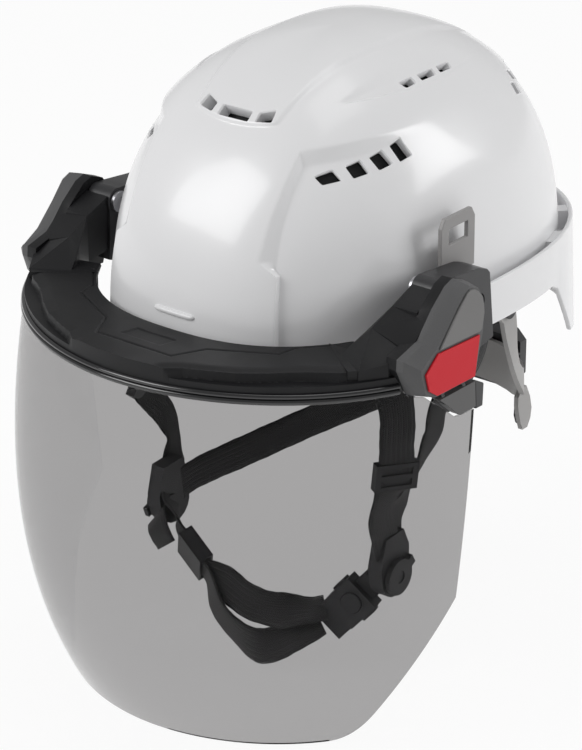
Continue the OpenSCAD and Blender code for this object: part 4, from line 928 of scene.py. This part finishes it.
keeper_at = np.array([-46.6, -67, -162.4])
keeper_dir = np.array([-0.843, 0.15, 0.517])
keeper_dir /= np.linalg.norm(keeper_dir)
KEEPER_FACE = (-0.35, -0.9, -0.3)
STRAPS = {
    "front_strap_left": (
        [(79.5, -60, -9), (85, -59.5, -25), (87.5, -58, -42), (86.5, -57, -60), (84, -54.5, -78),
         (80, -57, -92), (76.6, -57, -104), (74.6, -52, -117), (73.6, -47, -131)],
        [(1, -0.25, 0)] + [(0.8, -0.5, 0)] * 4 + [(1, -0.1, 0)] * 4),
    "rear_strap_left": (
        [(86.5, 19, -9), (89, 14, -24), (90, -3, -38), (88.5, -21, -50), (86, -23, -65), (82, -29, -82),
         (77.4, -35, -96), (72.4, -38.5, -109), (69.4, -39, -121), (69.2, -38, -132)],
        [(1, 0.1, 0.1)] * 5 + [(0.93, 0.35, 0)] * 2 + [(1, 0, 0)] * 3),
    "front_strap_right": (
        [(-78, -62, -9), (-83, -71, -30), (-85.4, -73, -50), (-86, -67, -68), (-86.4, -52, -86),
         (-86, -43, -100), (-83.4, -42, -111), (-79.4, -47, -120), (-77.6, -52, -130)],
        [(-1, -0.37, 0)] * 7 + [(-1, 0, 0)] * 2),
    "rear_strap_right": (
        [(5, 99.6, -93), (-5, 98.6, -95), (-13, 88, -99), (-19, 68, -105), (-37, 29, -113), (-56, -10, -123),
         (-67.6, -37, -129), (-71.4, -52, -133)],
        [(0, 1, 0), (-0.3, 1, 0)] + [(-0.9, 0.42, 0)] * 4 + [(-1, 0.1, 0)] * 2),
    "chin_strap": (
        [(41, -60, -171.5), (33, -67, -173), (16, -73.5, -175.5), (-1.2, -76, -174.6), (-18.8, -74, -170.6)]
        + [tuple(keeper_at + k * keeper_dir) for k in (-14, 0, 14)]
        + [(-63, -63.6, -148), (-69.6, -61, -139.6), (-74.8, -57, -131)],
        [(0.1, -0.2, 1), (0, -0.4, 1)] + [(-0.1, -0.9, 0.3)] * 3 + [KEEPER_FACE] * 3
        + [(-0.7, -0.7, -0.1), (-1, -0.2, 0), (-1, 0, 0)]),
    "chin_return": (
        [tuple(keeper_at + k * keeper_dir + [0, -2.2 + k / 30, -0.5 + k / 20]) for k in (-4, -16)]
        + [(-22, -78.6, -184), (-7, -81, -192.5), (12, -81.6, -196.2), (30, -74, -187), (40, -63, -179.5)],
        [KEEPER_FACE] * 2 + [(-0.1, -0.95, -0.3), (-0.1, -0.95, -0.2), (-0.1, -0.95, 0.2), (0, -0.6, 0.8),
                             (0.1, -0.2, 1)])}
for node, (route, facing) in STRAPS.items():
    seat(strap(node + "_woven", route, facing), "helmet", "webbing", webbing_black, node)

seat(strap("strap_tab_woven", [(-72, -71.8, -146), (-67, -77, -147), (-61.5, -80, -151), (-57.5, -80, -156)],
           [(-0.4, -0.8, 0.6)] * 4, 15), "helmet", "webbing", webbing_black, "strap_tab")
crown_at = [(0.5, 22 + 13.6 * i) if i < 5 else (180.0, 158 - 13.6 * i) for i in range(11)]
crown_route = [tuple(dome(np.array(u), np.array(v), -21.0)) for u, v in crown_at]
crown_facing = [(0, -1, 0.6 + i) if i < 5 else (0, 1, 10.6 - i) for i in range(11)]
crown = strap("crown_strap_woven", crown_route, crown_facing, 18, 1.6)
seat(crown, "helmet", "webbing", webbing_black, "crown_straps")

# %% [markdown]
# ## Pads
# The brow pad and the nape pads are thin foam under a knitted cover, crowned a little and pulled in at
# their edges. A pad here is a strip along the band whose thickness swells in the middle and in each cell.

# %% Knit material and pads
knit = bpy.data.materials.new("pad_knit")
knit.use_nodes = True
knit_tree = knit.node_tree
knit_shader = knit_tree.nodes["Principled BSDF"]
knit_shader.inputs["Base Color"].default_value = (0.03, 0.03, 0.032, 1)
knit_shader.inputs["Roughness"].default_value = 0.9
knit_shader.inputs["Sheen Weight"].default_value = 0.3
knit_grain = place_group(knit, grain, Scale=1400.0, Depth=0.8, Waviness=0.2)
knit_tree.links.new(knit_grain.outputs["Normal"], knit_shader.inputs["Normal"])


def padded_strip(name, centre, outward, up, length_cells, height, thick):
    """A pad on a band: centre line, outward normals and up axis; thickness swells inside each sewn cell."""
    count = len(centre)
    s = np.linspace(0, 1, count)[:, None]
    across = np.linspace(-1, 1, 25)[None, :]
    cell = np.abs(np.sin(np.pi * s * length_cells)) ** 0.35
    ends = np.clip(1 - (2 * s - 1) ** 12, 0, 1) ** 0.5
    crown = np.clip(1 - across ** 6, 0, 1) ** 0.5
    swell = thick * (0.25 + 0.75 * cell) * ends * crown
    face = centre[:, None] - outward[:, None] * swell[..., None] + up * (across * height / 2)[..., None]
    back = centre[:, None] + up * (across * height / 2)[..., None]
    points = np.concatenate([face, back[:, ::-1]], 1)
    piece = smooth(mesh_object(name, points, tube_faces(*points.shape[:2])), 60)
    return piece


pad_u = np.radians(np.linspace(-52, 52, 180))
pad_line = np.stack([(76 - 1.9) * np.sin(pad_u), 2 - (98 - 1.9) * np.cos(pad_u), 0 * pad_u - 7], -1)
pad_out = np.stack([np.sin(pad_u), -np.cos(pad_u), 0 * pad_u], -1)
brow_pad = padded_strip("brow_pad_knit", pad_line, pad_out, np.array([0, 0, 1.0]), 7, 22, 5.0)
seat(brow_pad, "helmet", "pad_fabric", knit, "brow_pad")
nape_x = np.linspace(-25, 25, 90)
nape_line = np.stack([nape_x, 0 * nape_x + 105.6, 0 * nape_x - 81.5], -1)
nape_out = np.tile(np.array([0, 1.0, 0]), (90, 1))
nape_pad = padded_strip("nape_pad_knit", nape_line, nape_out, np.array([0, 0, 1.0]), 4, 22, 4.8)
seat(nape_pad, "helmet", "pad_fabric", knit, "nape_pads")
side_pads = softened("paddle_pads_knit", "nape_pads", "helmet", "pad_fabric", knit, 1.2, 4, 28,
                     keep=((0, 100, 0), (0, 1, 0)))

# %% [markdown]
# ## Floor and light
# A white sweep under and behind, one broad soft lamp high at the camera's left, and weaker ones for the far
# side. The floor is shown almost white to the camera and to reflections, and still takes the soft shadow.

# %% Stage
floor_mesh = bpy.data.meshes.new("studio_floor")
reach = 12.0
floor_mesh.from_pydata([(-reach, -reach, -0.2075), (reach, -reach, -0.2075), (reach, reach, -0.2075),
                        (-reach, reach, -0.2075)], [], [(0, 1, 2, 3)])
floor = bpy.data.objects.new("studio_floor", floor_mesh)
bpy.context.scene.collection.objects.link(floor)
floor_white = bpy.data.materials.new("floor_white")
floor_white.use_nodes = True
floor_tree = floor_white.node_tree
floor_shader = floor_tree.nodes["Principled BSDF"]
floor_shader.inputs["Base Color"].default_value = (0.9, 0.9, 0.9, 1)
floor_shader.inputs["Roughness"].default_value = 1.0
floor_shader.inputs["Specular IOR Level"].default_value = 0.0
floor_glow = floor_tree.nodes.new("ShaderNodeEmission")
floor_glow.inputs["Color"].default_value = (1, 1, 1, 1)
floor_glow.inputs["Strength"].default_value = 1.0
floor_path = floor_tree.nodes.new("ShaderNodeLightPath")
floor_mix = floor_tree.nodes.new("ShaderNodeMixShader")
seen = math_node(floor_tree, "MAXIMUM",
                 floor_path.outputs["Is Camera Ray"], floor_path.outputs["Is Glossy Ray"])
seen = math_node(floor_tree, "MAXIMUM", seen, floor_path.outputs["Is Transmission Ray"])
floor_tree.links.new(math_node(floor_tree, "MULTIPLY", seen, 0.92), floor_mix.inputs["Fac"])
floor_tree.links.new(floor_shader.outputs["BSDF"], floor_mix.inputs[1])
floor_tree.links.new(floor_glow.outputs["Emission"], floor_mix.inputs[2])
floor_tree.links.new(floor_mix.outputs["Shader"], floor_tree.nodes["Material Output"].inputs["Surface"])
floor_mesh.materials.append(floor_white)

# %% World and lamps
world = bpy.data.worlds.new("studio_world")
bpy.context.scene.world = world
world.use_nodes = True
world_tree = world.node_tree
sky = world_tree.nodes["Background"]
sky.inputs["Color"].default_value = (1, 1, 1, 1)
world_path = world_tree.nodes.new("ShaderNodeLightPath")
world_seen = math_node(world_tree, "MAXIMUM",
                       world_path.outputs["Is Camera Ray"], world_path.outputs["Is Transmission Ray"])
world_level = math_node(world_tree, "ADD", math_node(world_tree, "MULTIPLY", world_seen, 0.62), 0.38)
world_tree.links.new(world_level, sky.inputs["Strength"])


def lamp(name, place, target, size, power):
    """A square soft lamp that faces the target; places are in metres."""
    light = bpy.data.lights.new(name, "AREA")
    light.shape = "SQUARE"
    light.size = size
    light.energy = power
    holder = bpy.data.objects.new(name, light)
    bpy.context.scene.collection.objects.link(holder)
    holder.location = place
    holder.rotation_euler = (Vector(target) - Vector(place)).to_track_quat("-Z", "Y").to_euler()
    return holder


lamp("key_softbox", (-1.3, -2.2, 1.7), (0, 0, 0), 1.6, 39)
lamp("back_right_softbox", (2.0, 1.5, 0.9), (0, 0.02, 0.0), 1.2, 24)
lamp("top_softbox", (0.1, 0.4, 2.4), (0, 0, 0), 1.4, 8)
bpy.context.scene.view_settings.view_transform = "Standard"
